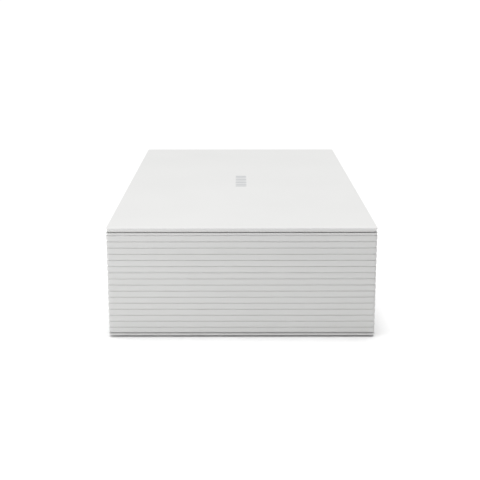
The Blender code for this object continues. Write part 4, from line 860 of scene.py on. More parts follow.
# %% Lock plate
plate = spans("lock_plate")
lock_plate = slab("lock_slot_plate", *plate, corner=1.5 * MM, edge=0.15 * MM, along=Y)
carve(lock_plate, slab("lock_cut", around(lock.x, LOCK_SLOT[0]), inset(plate[Y], -MM),
                       around(lock.z, LOCK_SLOT[1]), corner=0.6 * MM, along=Y))
for sign in (-1, 1):
    carve(lock_plate, rod("rivet_hole", (lock.x + sign * 7.4 * MM, lock.y, lock.z), MM, 6 * MM, Y, 24))
settle(lock_plate, "casing", zinc, "plated_steel", "lock_plate")

# %% [markdown]
# ## Sockets
# A network socket is a folded tin shell round a black moulding with eight sprung contacts. A USB
# socket is a shell round a tongue. Both kinds of contact are the same thing: a strip bent down at
# its end, repeated at a pitch. One tree makes them all: a small grid is bent by a rule, given its
# thickness, and laid at each point of a line.

# %% Contact tree
comb, given = new_tree("contact_comb", Count="Int", Pitch="Float", Length="Float", Drop="Float",
                       Width="Float", Thickness="Float", Centre="Vector", Turn="Vector")
strip = add(comb, "GeometryNodeMeshGrid", {"Size X": given["Width"], "Size Y": given["Length"],
                                           "Vertices X": 2, "Vertices Y": 7})
at = add(comb, "ShaderNodeSeparateXYZ", {"Vector": add(comb, "GeometryNodeInputPosition")})
along = add(comb, math_node, {0: at.outputs["Y"], 1: given["Length"]}, operation="DIVIDE")
bend = add(comb, "ShaderNodeMapRange", {"Value": along, "From Min": 0.1, "From Max": 0.5, "To Min": 0.0,
                                        "To Max": given["Drop"]}, interpolation_type="SMOOTHSTEP")
fall = add(comb, math_node, {0: bend, 1: -1.0}, operation="MULTIPLY")
bent = add(comb, "GeometryNodeSetPosition",
           {"Geometry": strip, "Offset": add(comb, "ShaderNodeCombineXYZ", {"Z": fall})})
sheet_push = add(comb, "ShaderNodeCombineXYZ", {"Z": given["Thickness"]})
strip = solid(comb, bent, Offset=sheet_push, Offset_Scale=1.0)
points = row_of(comb, given["Count"], given["Pitch"], "X")
laid = add(comb, "GeometryNodeInstanceOnPoints", {"Points": points, "Instance": strip})
placed = add(comb, "GeometryNodeTransform", {"Geometry": laid, "Translation": given["Centre"],
                                             "Rotation": given["Turn"]})
end_tree(comb, placed, given)


def contacts(name, count, pitch, length, drop, width, centre, turn=(0.0, 0.0, 0.0), thickness=0.15 * MM):
    """A row of gold contacts that rides on the casing."""
    piece = grow(name, comb, Count=count, Pitch=pitch, Length=length, Drop=drop, Width=width,
                 Thickness=thickness, Centre=centre, Turn=turn, Finish=gold)
    return settle(piece, "casing", None, "plated_steel")


# %% Network socket
TIN = 0.3 * MM
LAN = spans("lan_jack")
lan = centre_of("lan_jack")
MOUTH = (12.0 * MM, 14.0 * MM, 8.4 * MM)
mouth_z = (LAN[Z][0] + 1.6 * MM, LAN[Z][0] + 1.6 * MM + MOUTH[2])
mouth_y = (PANEL_OUT - MOUTH[1], PANEL_OUT + MM)

shell = slab("network_socket_shell", *LAN, corner=0.5 * MM, edge=0.1 * MM, along=Y)
carve(shell, slab("shell_room", inset(LAN[X], TIN), (LAN[Y][0] + TIN, PANEL_OUT + MM),
                  inset(LAN[Z], TIN), corner=0.3 * MM, along=Y))
settle(shell, "casing", nickel, "plated_steel", "lan_jack")

insert = slab("network_socket_insert", inset(LAN[X], TIN + 0.05 * MM),
              (LAN[Y][0] + TIN + 0.1 * MM, PANEL_OUT - 0.2 * MM), inset(LAN[Z], TIN + 0.05 * MM),
              corner=0.3 * MM, edge=0.1 * MM, along=Y)
carve(insert, slab("mouth", around(lan.x, MOUTH[0]), mouth_y, mouth_z, corner=0.3 * MM, along=Y))
for width, rise in ((6.2 * MM, 1.4 * MM), (3.4 * MM, 2.5 * MM)):
    carve(insert, slab("latch_notch", around(lan.x, width), (mouth_y[0] + 0.3 * MM, mouth_y[1]),
                       (mouth_z[1] - MM, mouth_z[1] + rise)))
for sign in (-1, 1):
    lamp_x = around(lan.x + sign * 5.6 * MM, 2.6 * MM)
    lamp_z = around(mouth_z[1] + 1.35 * MM, 1.5 * MM)
    carve(insert, slab("lamp_room", inset(lamp_x, -0.05 * MM), (PANEL_OUT - 3.0 * MM, PANEL_OUT + MM),
                       inset(lamp_z, -0.05 * MM)))
    link_lamp = slab("link_lamp_" + SIDES[sign > 0], lamp_x, (PANEL_OUT - 2.9 * MM, PANEL_OUT - 0.15 * MM),
                     lamp_z, corner=0.2 * MM, edge=0.2 * MM, rims=(1,), along=Y)
    settle(link_lamp, "casing", acrylic, "lamp_plastic")
settle(insert, "casing", black_insert, "black_plastic")
contacts("network_contacts", 8, 1.02 * MM, 7.0 * MM, -1.6 * MM, 0.45 * MM,
         (lan.x, PANEL_OUT - 7.2 * MM, mouth_z[0] + 0.35 * MM), (0.0, 0.0, math.pi))

# %% USB sockets
USB_SHEET = 0.45 * MM
TONGUE = 1.84 * MM
for side in SIDES:
    USB = spans("usb_shell_" + side)
    usb = centre_of("usb_shell_" + side)
    room = [inset(USB[X], USB_SHEET), (USB[Y][0] + USB_SHEET, PANEL_OUT + MM), inset(USB[Z], USB_SHEET)]
    can = slab("usb_can_" + side, *USB, corner=0.9 * MM, edge=0.1 * MM, along=Y)
    carve(can, slab("can_room", *room, corner=0.5 * MM, along=Y))
    for sign in (-1, 1):
        for z in USB[Z]:
            spring = slab("spring_gap", around(usb.x + sign * 3.2 * MM, 1.7 * MM),
                          (PANEL_OUT - 8.5 * MM, PANEL_OUT - 4.0 * MM), around(z, 2.4 * MM),
                          corner=0.5 * MM)
            leaf = slab("leaf", around(usb.x + sign * 3.2 * MM, 1.1 * MM),
                        (PANEL_OUT - 9.0 * MM, PANEL_OUT - 4.5 * MM), around(z, 4.0 * MM))
            carve(can, carve(spring, leaf))
    settle(can, "casing", nickel, "plated_steel", "usb_shell_" + side)

    room = USB_SHEET + GAP
    core = slab("usb_core_" + side, inset(USB[X], room), (USB[Y][0] + room, USB[Y][0] + room + 3.5 * MM),
                inset(USB[Z], room), corner=0.3 * MM, along=Y)
    top = USB[Z][1] - room - 0.5 * MM
    bottom = top - TONGUE
    tongue = slab("tongue", inset(USB[X], room + 0.5 * MM), (USB[Y][0] + room + MM, PANEL_OUT - 1.4 * MM),
                  (bottom, top), corner=0.3 * MM, edge=0.35 * MM, along=Y)
    carve(core, tongue, how="UNION")
    settle(core, "casing", black_insert, "black_plastic", "usb_insulator_" + side)
    under = bottom - 0.16 * MM
    contacts("usb_contacts_" + side, 4, 2.2 * MM, 6.4 * MM, 0.0, MM,
             (usb.x, PANEL_OUT - 5.4 * MM, under))
    contacts("usb_pins_" + side, 5, 1.8 * MM, 1.2 * MM, 0.0, 0.6 * MM,
             (usb.x, PANEL_OUT - 2.3 * MM, under))

# %% Power inlet
JACK = spans("dc_jack")
jack = centre_of("dc_jack")
inlet = slab("power_inlet_body", *JACK, corner=0.7 * MM, edge=0.25 * MM, along=Y)
carve(inlet, rod("inlet_bore", (jack.x, PANEL_OUT, jack.z), 3.0 * MM, 20.0 * MM, Y, 48))
flare = turned("flare", [(0, 0.3 * MM), (3.6 * MM, 0.3 * MM), (3.0 * MM, -0.4 * MM), (0, -0.4 * MM)],
               (jack.x, PANEL_OUT, jack.z), (0, 1, 0), 48)
carve(inlet, flare)
settle(inlet, "casing", black_insert, "black_plastic", "dc_jack")
point = [(0, 0), (0.6 * MM, -0.15 * MM), (1.0 * MM, -0.7 * MM), (1.0 * MM, -9.6 * MM), (2.9 * MM, -9.6 * MM),
         (2.9 * MM, -9.9 * MM), (0, -9.9 * MM)]
centre_pin = turned("power_inlet_pin", point, (jack.x, PANEL_OUT - 0.6 * MM, jack.z), (0, 1, 0), 32)
settle(centre_pin, "casing", nickel, "plated_steel")

# %% [markdown]
# ## Button, reset pin and lamp
# The power button is turned with a shallow dish, so a finger finds its middle. The stand-by sign on
# it, an open ring with a bar, is a common sign on switches: it is cut into the dish and filled with
# ink. The sign is drawn once by a function and used twice, once as the cutter and once as the ink.

# %% Power button
FACE = spans("power_button")[Y][1]
BUTTON = 6.5 * MM
flange = spans("power_button")[X][1] - button.x
STEM = 2.0 * MM
stem_end = spans("power_button")[Y][0] - FACE
flange_top = PANEL_IN - GAP - FACE
DISH = 0.35 * MM


def standby_sign(name, y, grow_by=0.0):
    """An open ring with a bar through its gap, as a solid between two levels of Y."""
    radius = 2.3 * MM
    half = 0.28 * MM + grow_by
    profile = [(radius - half, y[1]), (radius + half, y[1]), (radius + half, y[0]),
               (radius - half, y[0])]
    sign = turned(name, profile, (button.x, 0, button.z), (0, 1, 0), 48)
    gap = slab("gap", around(button.x, 2.0 * MM - 2 * grow_by), inset(y, -MM),
               (button.z, button.z + 2 * radius))
    bar = slab("bar", around(button.x, 2 * half), y,
               inset((button.z + 0.4 * MM, button.z + 2.9 * MM), -grow_by), corner=0.9 * half, along=Y)
    carve(sign, gap)
    return carve(sign, bar, how="UNION")


dish = [(BUTTON - MM - (BUTTON - MM) * step / 6, -DISH * math.sin(math.pi * step / 12)) for step in range(7)]
profile = dish[::-1] + [(BUTTON - 0.5 * MM, 0), (BUTTON - 0.15 * MM, -0.15 * MM), (BUTTON, -0.5 * MM),
                        (BUTTON, flange_top), (flange, flange_top), (flange, flange_top - 1.5 * MM),
                        (STEM, flange_top - 1.5 * MM), (STEM, stem_end), (0, stem_end)]
cap = turned("power_button_cap", profile, (button.x, FACE, button.z), (0, 1, 0), 72)
carve(cap, standby_sign("sign_cutter", (FACE - 0.7 * MM, FACE + MM), 0.02 * MM))
settle(cap, "power", white_abs, "case_plastic", "power_button")
sign = standby_sign("standby_sign", (FACE - 0.69 * MM, FACE - 0.42 * MM))
settle(sign, "power", grey_ink, "case_plastic")

# %% Plunger, switches and reset pin
def block_with_top(name, node, paint, slot, body="casing", **rounding):
    """A moulded block with rounded edges, in place of a plain CAD box."""
    return settle(slab(name, *spans(node), **rounding), body, paint, slot, node)


def plunger(name, node, body):
    """A short round pin with its two ends rounded."""
    (low, high) = spans(node)[Y]
    radius = spans(node)[X][1] - centre_of(node).x
    ease = 0.25 * MM
    profile = [(0, high), (radius - ease, high), (radius - 0.3 * ease, high - 0.3 * ease),
               (radius, high - ease), (radius, low + ease), (radius - ease, low), (0, low)]
    spot = centre_of(node)
    return settle(turned(name, profile, (spot.x, 0, spot.z), (0, 1, 0), 40), body, black_insert,
                  "black_plastic", node)


plunger("switch_plunger_pin", "switch_plunger", "power")
plunger("reset_pin", "reset_button", "reset")
for name, node, well in (("power_switch_body", "power_switch", 2.0 * MM),
                         ("reset_switch_body", "reset_switch", 1.5 * MM)):
    block = spans(node)
    housing = slab(name, *block, corner=0.5 * MM, edge=0.2 * MM, along=Y)
    spot = button if node == "power_switch" else pin
    carve(housing, rod("well", (spot.x, block[Y][1], spot.z), well, 6.0 * MM, Y, 40))
    settle(housing, "casing", black_insert, "black_plastic", node)

# %% Lamp and light pipe
(low, high) = spans("light_pipe")[Y]
LAMP = 1.5 * MM
collar = high - PANEL_SHEET - GAP
profile = [(0, high - 0.05 * MM), (0.5 * LAMP, high - 0.08 * MM), (0.85 * LAMP, high - 0.25 * MM),
           (LAMP, high - 0.6 * MM), (LAMP, collar), (LAMP + MM, collar), (LAMP + MM, collar - 1.2 * MM),
           (LAMP, collar - 1.2 * MM), (LAMP, low), (0, low)]
settle(turned("lamp_light_pipe", profile, (pipe.x, 0, pipe.z), (0, 1, 0), 48), "casing", acrylic,
       "lamp_plastic", "light_pipe")
diode = spans("status_lamp")
chip = slab("status_lamp_chip", diode[X], (diode[Y][0], diode[Y][0] + 1.0 * MM), diode[Z], corner=0.2 * MM,
            along=Y)
DOME, CROWN = 1.3 * MM, 0.8 * MM
arc = [math.radians(15 * step) for step in range(5, -1, -1)]
dome = [(0, CROWN)] + [(DOME * math.cos(angle), CROWN * math.sin(angle)) for angle in arc] + \
    [(DOME, -0.3 * MM), (0, -0.3 * MM)]
carve(chip, turned("dome", dome, (pipe.x, diode[Y][0] + 1.0 * MM, pipe.z), (0, 1, 0), 32), how="UNION")
settle(chip, "casing", acrylic, "lamp_plastic", "status_lamp")
block_with_top("switch_board_laminate", "switch_board", solder_mask, "circuit_board", corner=0.8 * MM,
               edge=0.1 * MM, along=Y)

# %% [markdown]
# ## Fan
# The frame is a square moulding whose corners are open between its two flanges, with a tube round
# the blades and four arms that hold the motor. The blades are one shape turned round the hub: a grid
# bent by a rule, with more pitch at the root than at the tip and a hollow along the chord.

# %% Fan frame
fan_size = FAN[X][1] - FAN[X][0]
FLANGE = 3.2 * MM
frame_body = slab("fan_housing", *FAN, corner=3.0 * MM, edge=0.3 * MM, along=Y)
pockets = slab("pockets", inset(FAN[X], -MM), inset(FAN[Y], FLANGE), inset(FAN[Z], -MM))
carve(pockets, rod("tube_outside", fan_hub, fan_size / 2 - 0.25 * MM, 30.0 * MM, Y, 72))
flow = [(fan_bore + 0.9 * MM, FAN[Y][0] - MM), (fan_bore + 0.9 * MM, FAN[Y][0]),
        (fan_bore, FAN[Y][0] + 2.0 * MM), (fan_bore, FAN[Y][1] + MM), (0, FAN[Y][1] + MM),
        (0, FAN[Y][0] - MM)]
carve(frame_body, pockets, turned("bore", flow[::-1], (fan_hub.x, 0, fan_hub.z), (0, 1, 0), 96))
ARM = 2.0 * MM
arm_y = (FAN[Y][1] - ARM, FAN[Y][1] - 0.1 * MM)
HUB = 11.0 * MM
for turn_by in (45, 135):
    arm = slab("fan_arm", around(0, 2 * fan_bore + 1.6 * MM), (arm_y[0], arm_y[1]), around(0, 2.6 * MM),
               corner=0.6 * MM, along=X)
    turn = Matrix.Rotation(math.radians(turn_by), 4, "Y")
    arm.data.transform(Matrix.Translation((fan_hub.x, 0, fan_hub.z)) @ turn)
    carve(frame_body, arm, how="UNION")
stator = turned("stator", [(0, FAN[Y][1] - 0.15 * MM), (HUB - 0.4 * MM, FAN[Y][1] - 0.15 * MM),
                           (HUB, FAN[Y][1] - 0.6 * MM), (HUB, arm_y[0]), (9.0 * MM, arm_y[0]),
                           (9.0 * MM, FAN[Y][1] - 8.4 * MM), (0, FAN[Y][1] - 8.4 * MM)],
                (fan_hub.x, 0, fan_hub.z), (0, 1, 0), 64)
carve(frame_body, stator, how="UNION")
carve(frame_body, rod("bearing", (fan_hub.x, FAN[Y][0] + 4.0 * MM, fan_hub.z), 1.4 * MM, 20.0 * MM, Y, 32))
for node in FAN_SCREWS:
    spot = centre_of(node)
    carve(frame_body, rod("corner_hole", (spot.x, fan_hub.y, spot.z), 2.1 * MM, 40.0 * MM, Y, 32))
settle(frame_body, "casing", black_pbt, "black_plastic", "fan_frame")
sticker = turned("fan_hub_label", [(0, FAN[Y][1] - 0.02 * MM), (HUB - 1.4 * MM, FAN[Y][1] - 0.02 * MM),
                                   (HUB - 1.4 * MM, FAN[Y][1] - 0.2 * MM), (0, FAN[Y][1] - 0.2 * MM)],
                 (fan_hub.x, 0, fan_hub.z), (0, 1, 0), 64)
settle(sticker, "casing", label_paper, "case_plastic")

# %% Fan blades
blades, given = new_tree("fan_blades", Blades="Int", Root="Float", Tip="Float", Chord="Float",
                         Pitch="Float", Twist="Float", Camber="Float", Thickness="Float")
sheet = add(blades, "GeometryNodeMeshGrid", {"Size X": 1.0, "Size Y": 1.0, "Vertices X": 7, "Vertices Y": 9})
at = add(blades, "ShaderNodeSeparateXYZ", {"Vector": add(blades, "GeometryNodeInputPosition")})
along = add(blades, math_node, {0: at.outputs["X"], 1: 0.5}, operation="ADD")
radius = add(blades, "ShaderNodeMapRange", {"Value": along, "To Min": given["Root"], "To Max": given["Tip"]})
twist = add(blades, math_node, {0: along, 1: given["Twist"]}, operation="MULTIPLY")
angle = add(blades, math_node, {0: given["Pitch"], 1: twist}, operation="SUBTRACT")
run = add(blades, math_node, {0: at.outputs["Y"], 1: given["Chord"]}, operation="MULTIPLY")
cosine = add(blades, math_node, {0: angle}, operation="COSINE")
sine = add(blades, math_node, {0: angle}, operation="SINE")
flat = add(blades, math_node, {0: run, 1: cosine}, operation="MULTIPLY")
rise = add(blades, math_node, {0: run, 1: sine}, operation="MULTIPLY")
bow = add(blades, math_node, {0: at.outputs["Y"], 1: at.outputs["Y"]}, operation="MULTIPLY")
bow = add(blades, math_node, {0: bow, 1: -4.0, 2: 1.0}, operation="MULTIPLY_ADD")
rise = add(blades, math_node, {0: bow, 1: given["Camber"], 2: rise}, operation="MULTIPLY_ADD")
bent = add(blades, "GeometryNodeSetPosition",
           {"Geometry": sheet, "Position": add(blades, "ShaderNodeCombineXYZ",
                                               {"X": radius, "Y": flat, "Z": rise})})
blade = solid(blades, bent, Offset_Scale=given["Thickness"])
points = add(blades, "GeometryNodeMeshLine", {"Count": given["Blades"], "Offset": (0.0, 0.0, 0.0)})
share = add(blades, math_node, {0: add(blades, "GeometryNodeInputIndex"), 1: given["Blades"]},
            operation="DIVIDE")
spin = add(blades, math_node, {0: share, 1: math.tau}, operation="MULTIPLY")
spin = add(blades, "ShaderNodeCombineXYZ", {"Z": spin})
laid = add(blades, "GeometryNodeInstanceOnPoints", {"Points": points, "Instance": blade, "Rotation": spin})
end_tree(blades, laid, given)

rotor_y = spans("fan_rotor")[Y]
length = rotor_y[1] - rotor_y[0]
CUP = 9.6 * MM
rotor = grow("fan_rotor_moulding", blades, Blades=7, Root=HUB - 0.5 * MM, Tip=fan_bore - 0.9 * MM,
             Chord=12.0 * MM, Pitch=math.radians(42), Twist=math.radians(14), Camber=1.0 * MM,
             Thickness=0.9 * MM, Finish=black_pbt)
cup = turned("rotor_cup", [(0, length / 2), (1.1 * MM, length / 2), (1.1 * MM, 1.6 * MM - length / 2),
                           (CUP, 1.6 * MM - length / 2), (CUP, length / 2), (HUB, length / 2),
                           (HUB, 0.9 * MM - length / 2), (HUB - 0.9 * MM, -length / 2), (0, -length / 2)],
             (0, 0, 0), (0, 0, 1), 64)
carve(rotor, cup, how="UNION")
turn = Vector((0, 0, 1)).rotation_difference(Vector((0, 1, 0))).to_matrix().to_4x4()
rotor.data.transform(Matrix.Translation((fan_hub.x, middle(rotor_y), fan_hub.z)) @ turn)
settle(rotor, "fan", black_pbt, "black_plastic", "fan_rotor")

# %% [markdown]
# ## Screws
# One screw is turned once, with its thread as a row of ridges and a cross cut into its head. A tree
# then stands a copy at every place and points it the right way, so four screws are one piece.

# %% Screw tree
fasteners, given = new_tree("fasteners", Master="Object", Direction="Vector")
aim = add(fasteners, "FunctionNodeAlignRotationToVector", {"Vector": given["Direction"]}, axis="Z")
master = add(fasteners, "GeometryNodeObjectInfo", {"Object": given["Master"], "As Instance": True})
laid = add(fasteners, "GeometryNodeInstanceOnPoints",
           {"Points": given["Geometry"], "Instance": master.outputs["Geometry"], "Rotation": aim})
end_tree(fasteners, laid, given)


def screw(head, height, shank, length, thread=0.7 * MM):
    """A pan-head screw with its seat at zero and its head above it."""
    ease = 0.35 * height
    profile = [(0, height), (head - 1.6 * ease, height), (head - 0.5 * ease, height - 0.3 * ease),
               (head, height - ease), (head, 0), (shank, 0)]
    turns = int((length - 1.4 * MM) / thread)
    for index in range(turns):
        top = -0.5 * MM - thread * index
        profile += [(shank - 0.25 * MM, top), (shank, top - thread / 2)]
    profile += [(shank - 0.25 * MM, -0.5 * MM - thread * turns), (0.4 * shank, -length), (0, -length)]
    master = turned("screw_master", profile, (0, 0, 0), (0, 0, 1), 32)
    for width, depth in ((0.62 * head, 0.1 * head), (0.1 * head, 0.62 * head)):
        carve(master, slab("cross", around(0, 2 * width), around(0, 2 * depth),
                           (0.5 * height, height + MM)))
    return master


def fasten(name, nodes, direction, seat, body, *, paint=zinc, **sizes):
    """Copies of one screw in place of CAD screws; seat gives each one's place under its head."""
    piece = stamp(name, fasteners, screw(**sizes), [seat(node) for node in nodes],
                  Direction=direction, Finish=paint)
    return settle(piece, body, None, "screw_steel", *nodes)


def at_end(axis, end, offset):
    """A rule for a screw's seat: the middle of its node, moved along one axis to near one end."""
    def seat(node):
        spot = centre_of(node)
        spot[axis] = spans(node)[axis][end] + offset
        return spot
    return seat


fasten("fan_screws", FAN_SCREWS, (0.0, 1.0, 0.0), at_end(Y, 1, -1.8 * MM), "casing", head=2.8 * MM,
       height=1.8 * MM, shank=1.8 * MM, length=12.0 * MM)
fasten("case_screws", SCREWS, (0.0, 0.0, -1.0), at_end(Z, 0, 1.6 * MM), "casing", head=2.9 * MM,
       height=1.6 * MM, shank=1.25 * MM, length=12.4 * MM)
for side in SIDES:
    names = [f"drive_screw_{end}_{side}" for end in ("front", "rear")]
    sign = -1 if side == "left" else 1
    out = 0 if sign < 0 else 1
    fasten("drive_screws_" + side, names, (float(sign), 0.0, 0.0), at_end(X, out, -sign * 2.0 * MM),
           "casing", head=4.0 * MM, height=2.0 * MM, shank=1.85 * MM, length=9.0 * MM)

# %% [markdown]
# ## The drive
# The drive is a casting with a pressed steel lid, hung in a folded cradle on four rubber grommets.
# Where the CAD solid already has the right form, a copy of it is enough: its loose triangles are
# merged, flat ones are joined up again, and its sharp edges get a small radius. The parts that the
# eye would look for, such as the lid's stamping and the platters, are made afresh.

# %% Reworked castings and sheet
def rework(name, node, paint, slot, edge, body="casing", steps=2):
    """A copy of a CAD node with its triangles merged and its sharp edges rounded."""
    bm = bmesh.new()
    bm.from_mesh(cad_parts[node].data)
    bmesh.ops.remove_doubles(bm, verts=bm.verts, dist=1e-6)
    bmesh.ops.dissolve_limit(bm, angle_limit=math.radians(0.5), verts=bm.verts, edges=bm.edges)
    piece = keep(name, bm)
    ease = piece.modifiers.new("ease", "BEVEL")
    ease.width = edge
    ease.segments = steps
    ease.limit_method = "ANGLE"
    ease.angle_limit = math.radians(50)
    freeze(piece)
    return settle(piece, body, paint, slot, node)


rework("drive_cradle_sheet", "drive_cradle", rolled_steel, "plated_steel", 0.2 * MM)
rework("drive_base_casting", "drive_casting", cast_metal, "cast_aluminium", 0.35 * MM)
rework("head_arm_casting", "head_arm", extruded_metal, "cast_aluminium", 0.12 * MM, "heads")
rework("magnet_yoke_plate", "magnet_yoke", nickel, "plated_steel", 0.3 * MM)
rework("drive_socket", "drive_connector", black_insert, "black_plastic", 0.12 * MM)

# %% Drive lid
lid_top = DRIVE[Z][1]
cover = slab("drive_cover_sheet", *DRIVE, corner=3.0 * MM, edge=0.25 * MM, corner_steps=8)
well = turned("spindle_pressing", [(31.0 * MM, lid_top + MM), (30.4 * MM, lid_top - 0.4 * MM),
                                   (14.0 * MM, lid_top - 0.4 * MM), (13.4 * MM, lid_top + MM)],
              (spindle.x, spindle.y, 0), (0, 0, 1), 96)
channel = slab("arm_pressing", inset(DRIVE[X], 14.0 * MM), (spindle.y + 42.0 * MM, DRIVE[Y][1] - 16.0 * MM),
               (lid_top - 0.4 * MM, lid_top + MM), corner=6.0 * MM, edge=0.3 * MM, rims=(0,))
carve(cover, well, channel)
lid_screws = [(sign * (DRIVE[X][1] - 5.0 * MM), y, lid_top - 0.55 * MM) for sign in (-1, 1)
              for y in (DRIVE[Y][0] + 5.0 * MM, middle(DRIVE[Y]), DRIVE[Y][1] - 5.0 * MM)]
for x, y, z in lid_screws:
    sink = [(0, lid_top + MM), (3.0 * MM, lid_top + MM), (3.0 * MM, lid_top - 0.5 * MM),
            (0, lid_top - 0.5 * MM)]
    carve(cover, turned("screw_sink", sink, (x, y, 0), (0, 0, 1), 32))
settle(cover, "casing", zinc, "plated_steel", "drive_lid")

master = screw(head=2.5 * MM, height=0.5 * MM, shank=1.2 * MM, length=1.4 * MM, thread=5.0 * MM)
heads = stamp("drive_cover_screws", fasteners, master, lid_screws, Direction=(0.0, 0.0, 1.0),
              Finish=zinc)
settle(heads, "casing", None, "screw_steel")
label = slab("drive_blank_label", inset(DRIVE[X], 20.0 * MM), (spindle.y - 40.0 * MM, spindle.y - 32.0 * MM),
             (lid_top - 0.02 * MM, lid_top + 0.1 * MM), corner=1.5 * MM, edge=0.04 * MM, rims=(1,))
settle(label, "casing", label_paper, "case_plastic")

# %% Platters and hub
(low, high) = spans("platter_stack")[Z]
PLATTER = spans("platter_stack")[X][1] - spindle.x
RIM = 0.15 * MM
profile = [(0, high - 0.6 * MM), (9.0 * MM, high - 0.6 * MM), (9.4 * MM, high), (12.1 * MM, high),
           (12.5 * MM, high - 0.4 * MM)]
for index in (1, 0):
    level = low - GAP + 4.0 * MM + 5.0 * MM * index
    face = level + 1.3 * MM
    profile += [(12.5 * MM, face), (PLATTER - RIM, face), (PLATTER, face - RIM),
                (PLATTER, level + RIM), (PLATTER - RIM, level), (12.5 * MM, level)]
profile += [(12.5 * MM, low), (0, low)]
settle(turned("platters", profile, (spindle.x, spindle.y, 0), (0, 0, 1), 128), "spindle", mirror,
       "platter_mirror", "platter_stack")
clamp_places = [(spindle.x + 5.5 * MM * math.cos(a), spindle.y + 5.5 * MM * math.sin(a), high - 0.58 * MM)
                for a in (math.tau * index / 6 for index in range(6))]
master = screw(head=1.3 * MM, height=0.45 * MM, shank=0.7 * MM, length=1.0 * MM, thread=5.0 * MM)
clamp = stamp("spindle_clamp_screws", fasteners, master, clamp_places, Direction=(0.0, 0.0, 1.0),
              Finish=nickel)
settle(clamp, "spindle", None, "screw_steel")

# %% Grommets
for end in ("front", "rear"):
    for side in SIDES:
        node = f"grommet_{end}_{side}"
        box = spans(node)
        spot = centre_of(node)
        sign = -1 if side == "left" else 1
        total = box[X][1] - box[X][0]
        ring = box[Z][1] - spot.z
        ease = 0.35 * MM
        near, far = total - 1.6 * MM, total - 3.4 * MM
        profile = [(2.2 * MM, total), (ring - ease, total), (ring, total - ease), (ring, near + ease),
                   (ring - ease, near), (4.0 * MM, near), (4.0 * MM, far), (ring - ease, far),
                   (ring, far - ease), (ring, ease), (ring - ease, 0), (2.2 * MM, 0)]
        inside = (box[X][1] if sign < 0 else box[X][0], spot.y, spot.z)
        settle(turned(f"grommet_ring_{end}_{side}", profile, inside, (sign, 0, 0), 40), "casing",
               soft_rubber, "grommet_rubber", node)

# %% Drive board
DRIVE_BOARD = spans("drive_board")
laminate = slab("drive_board_laminate", *DRIVE_BOARD, corner=2.0 * MM, edge=0.1 * MM)
settle(laminate, "casing", solder_mask, "circuit_board", "drive_board")
contacts("drive_socket_contacts", 22, 1.27 * MM, 3.6 * MM, 0.0, 0.6 * MM,
         (centre_of("drive_connector").x, spans("drive_connector")[Y][1] - 2.4 * MM,
          spans("drive_connector")[Z][0] + 3.55 * MM))

# %% [markdown]
# ## Main board
# The board is laminate with a glossy green mask. Small parts are soldered all over its top: their
# places are drawn with a fixed seed and kept clear of the larger parts, and a tree stands one of two
# shapes at each place, a flat resistor or a taller capacitor. The heat sink's fins are one profile
# repeated along X, and the memory chip has the bent legs of the contact tree.

# %% Board and small parts
board = slab("main_board_laminate", *BOARD, corner=1.5 * MM, edge=0.1 * MM)
for x, y in PINS:
    carve(board, rod("board_hole", (x, y, BOARD[Z][1]), 1.6 * MM, 8.0 * MM, Z, 32))
settle(board, "casing", solder_mask, "circuit_board", "main_board")

LARGE = ["lan_jack", "usb_shell_left", "usb_shell_right", "dc_jack", "processor", "heat_sink",
         "memory_chip", "cell_holder", "fan_plug", "sata_header", "reset_switch"]
SMALL_PARTS = 70
CLEAR = 2.2 * MM                    # free board round each larger part
APART = 3.4 * MM                    # from one small part to the next
PIN_CLEAR = 4.5 * MM
SOLDER = 0.05 * MM                  # a small part stands on this much solder
CAP_SHARE = 0.22                    # share of its length that each metal end takes
LAP = 0.02 * MM                     # the ends lap the body by this much
draw = random.Random(12)
places = []
while len(places) < SMALL_PARTS:
    spot = Vector((draw.uniform(*inset(BOARD[X], 3 * MM)), draw.uniform(*inset(BOARD[Y], 3 * MM)),
                   BOARD[Z][1]))
    free = all(not all(low - CLEAR < spot[axis] < high + CLEAR
                       for axis, (low, high) in ((X, spans(node)[X]), (Y, spans(node)[Y])))
               for node in LARGE)
    apart = all((spot - other).length > APART for other in places)
    on_pin = any((spot.xy - Vector(hole)).length < PIN_CLEAR for hole in PINS)
    if free and apart and not on_pin:
        places.append(spot)

scatter, given = new_tree("small_parts", Master="Object", Seed="Int")
master = add(scatter, "GeometryNodeObjectInfo", {"Object": given["Master"], "As Instance": True})
quarter = add(scatter, "FunctionNodeRandomValue", {4: 0, 5: 3, "Seed": given["Seed"]}, data_type="INT")
angle = add(scatter, math_node, {0: quarter.outputs[2], 1: math.pi / 2}, operation="MULTIPLY")
laid = add(scatter, "GeometryNodeInstanceOnPoints",
           {"Points": given["Geometry"], "Instance": master.outputs["Geometry"],
            "Rotation": add(scatter, "ShaderNodeCombineXYZ", {"Z": angle})})
end_tree(scatter, laid, given)


def small_parts(name, places, size, paint, seed):
    """One shape at every place, turned by quarters with a fixed seed, and its two metal ends."""
    x, y, z = size
    y = around(0, y)
    body_x = inset((-x / 2, x / 2), CAP_SHARE * x)
    master = slab("small_body", body_x, y, (SOLDER, z), edge=0.06 * MM, edge_steps=1)
    piece = stamp(name, scatter, master, places, Seed=seed, Finish=paint)
    settle(piece, "casing", None, "chip_resin")
    level = (SOLDER, z + LAP)
    left = slab("cap_left", (-x / 2, body_x[0] + LAP), y, level, edge=0.05 * MM, edge_steps=1)
    right = slab("cap_right", (body_x[1] - LAP, x / 2), y, level, edge=0.05 * MM, edge_steps=1)
    ends = stamp(name + "_ends", scatter, carve(left, right, how="UNION"), places, Seed=seed,
                 Finish=nickel)
    settle(ends, "casing", None, "plated_steel")


small_parts("chip_resistors", places[::2], (2.0 * MM, 1.2 * MM, 0.5 * MM), chip_resin, 3)
small_parts("chip_capacitors", places[1::2], (2.0 * MM, 1.2 * MM, 1.0 * MM), ceramic, 5)

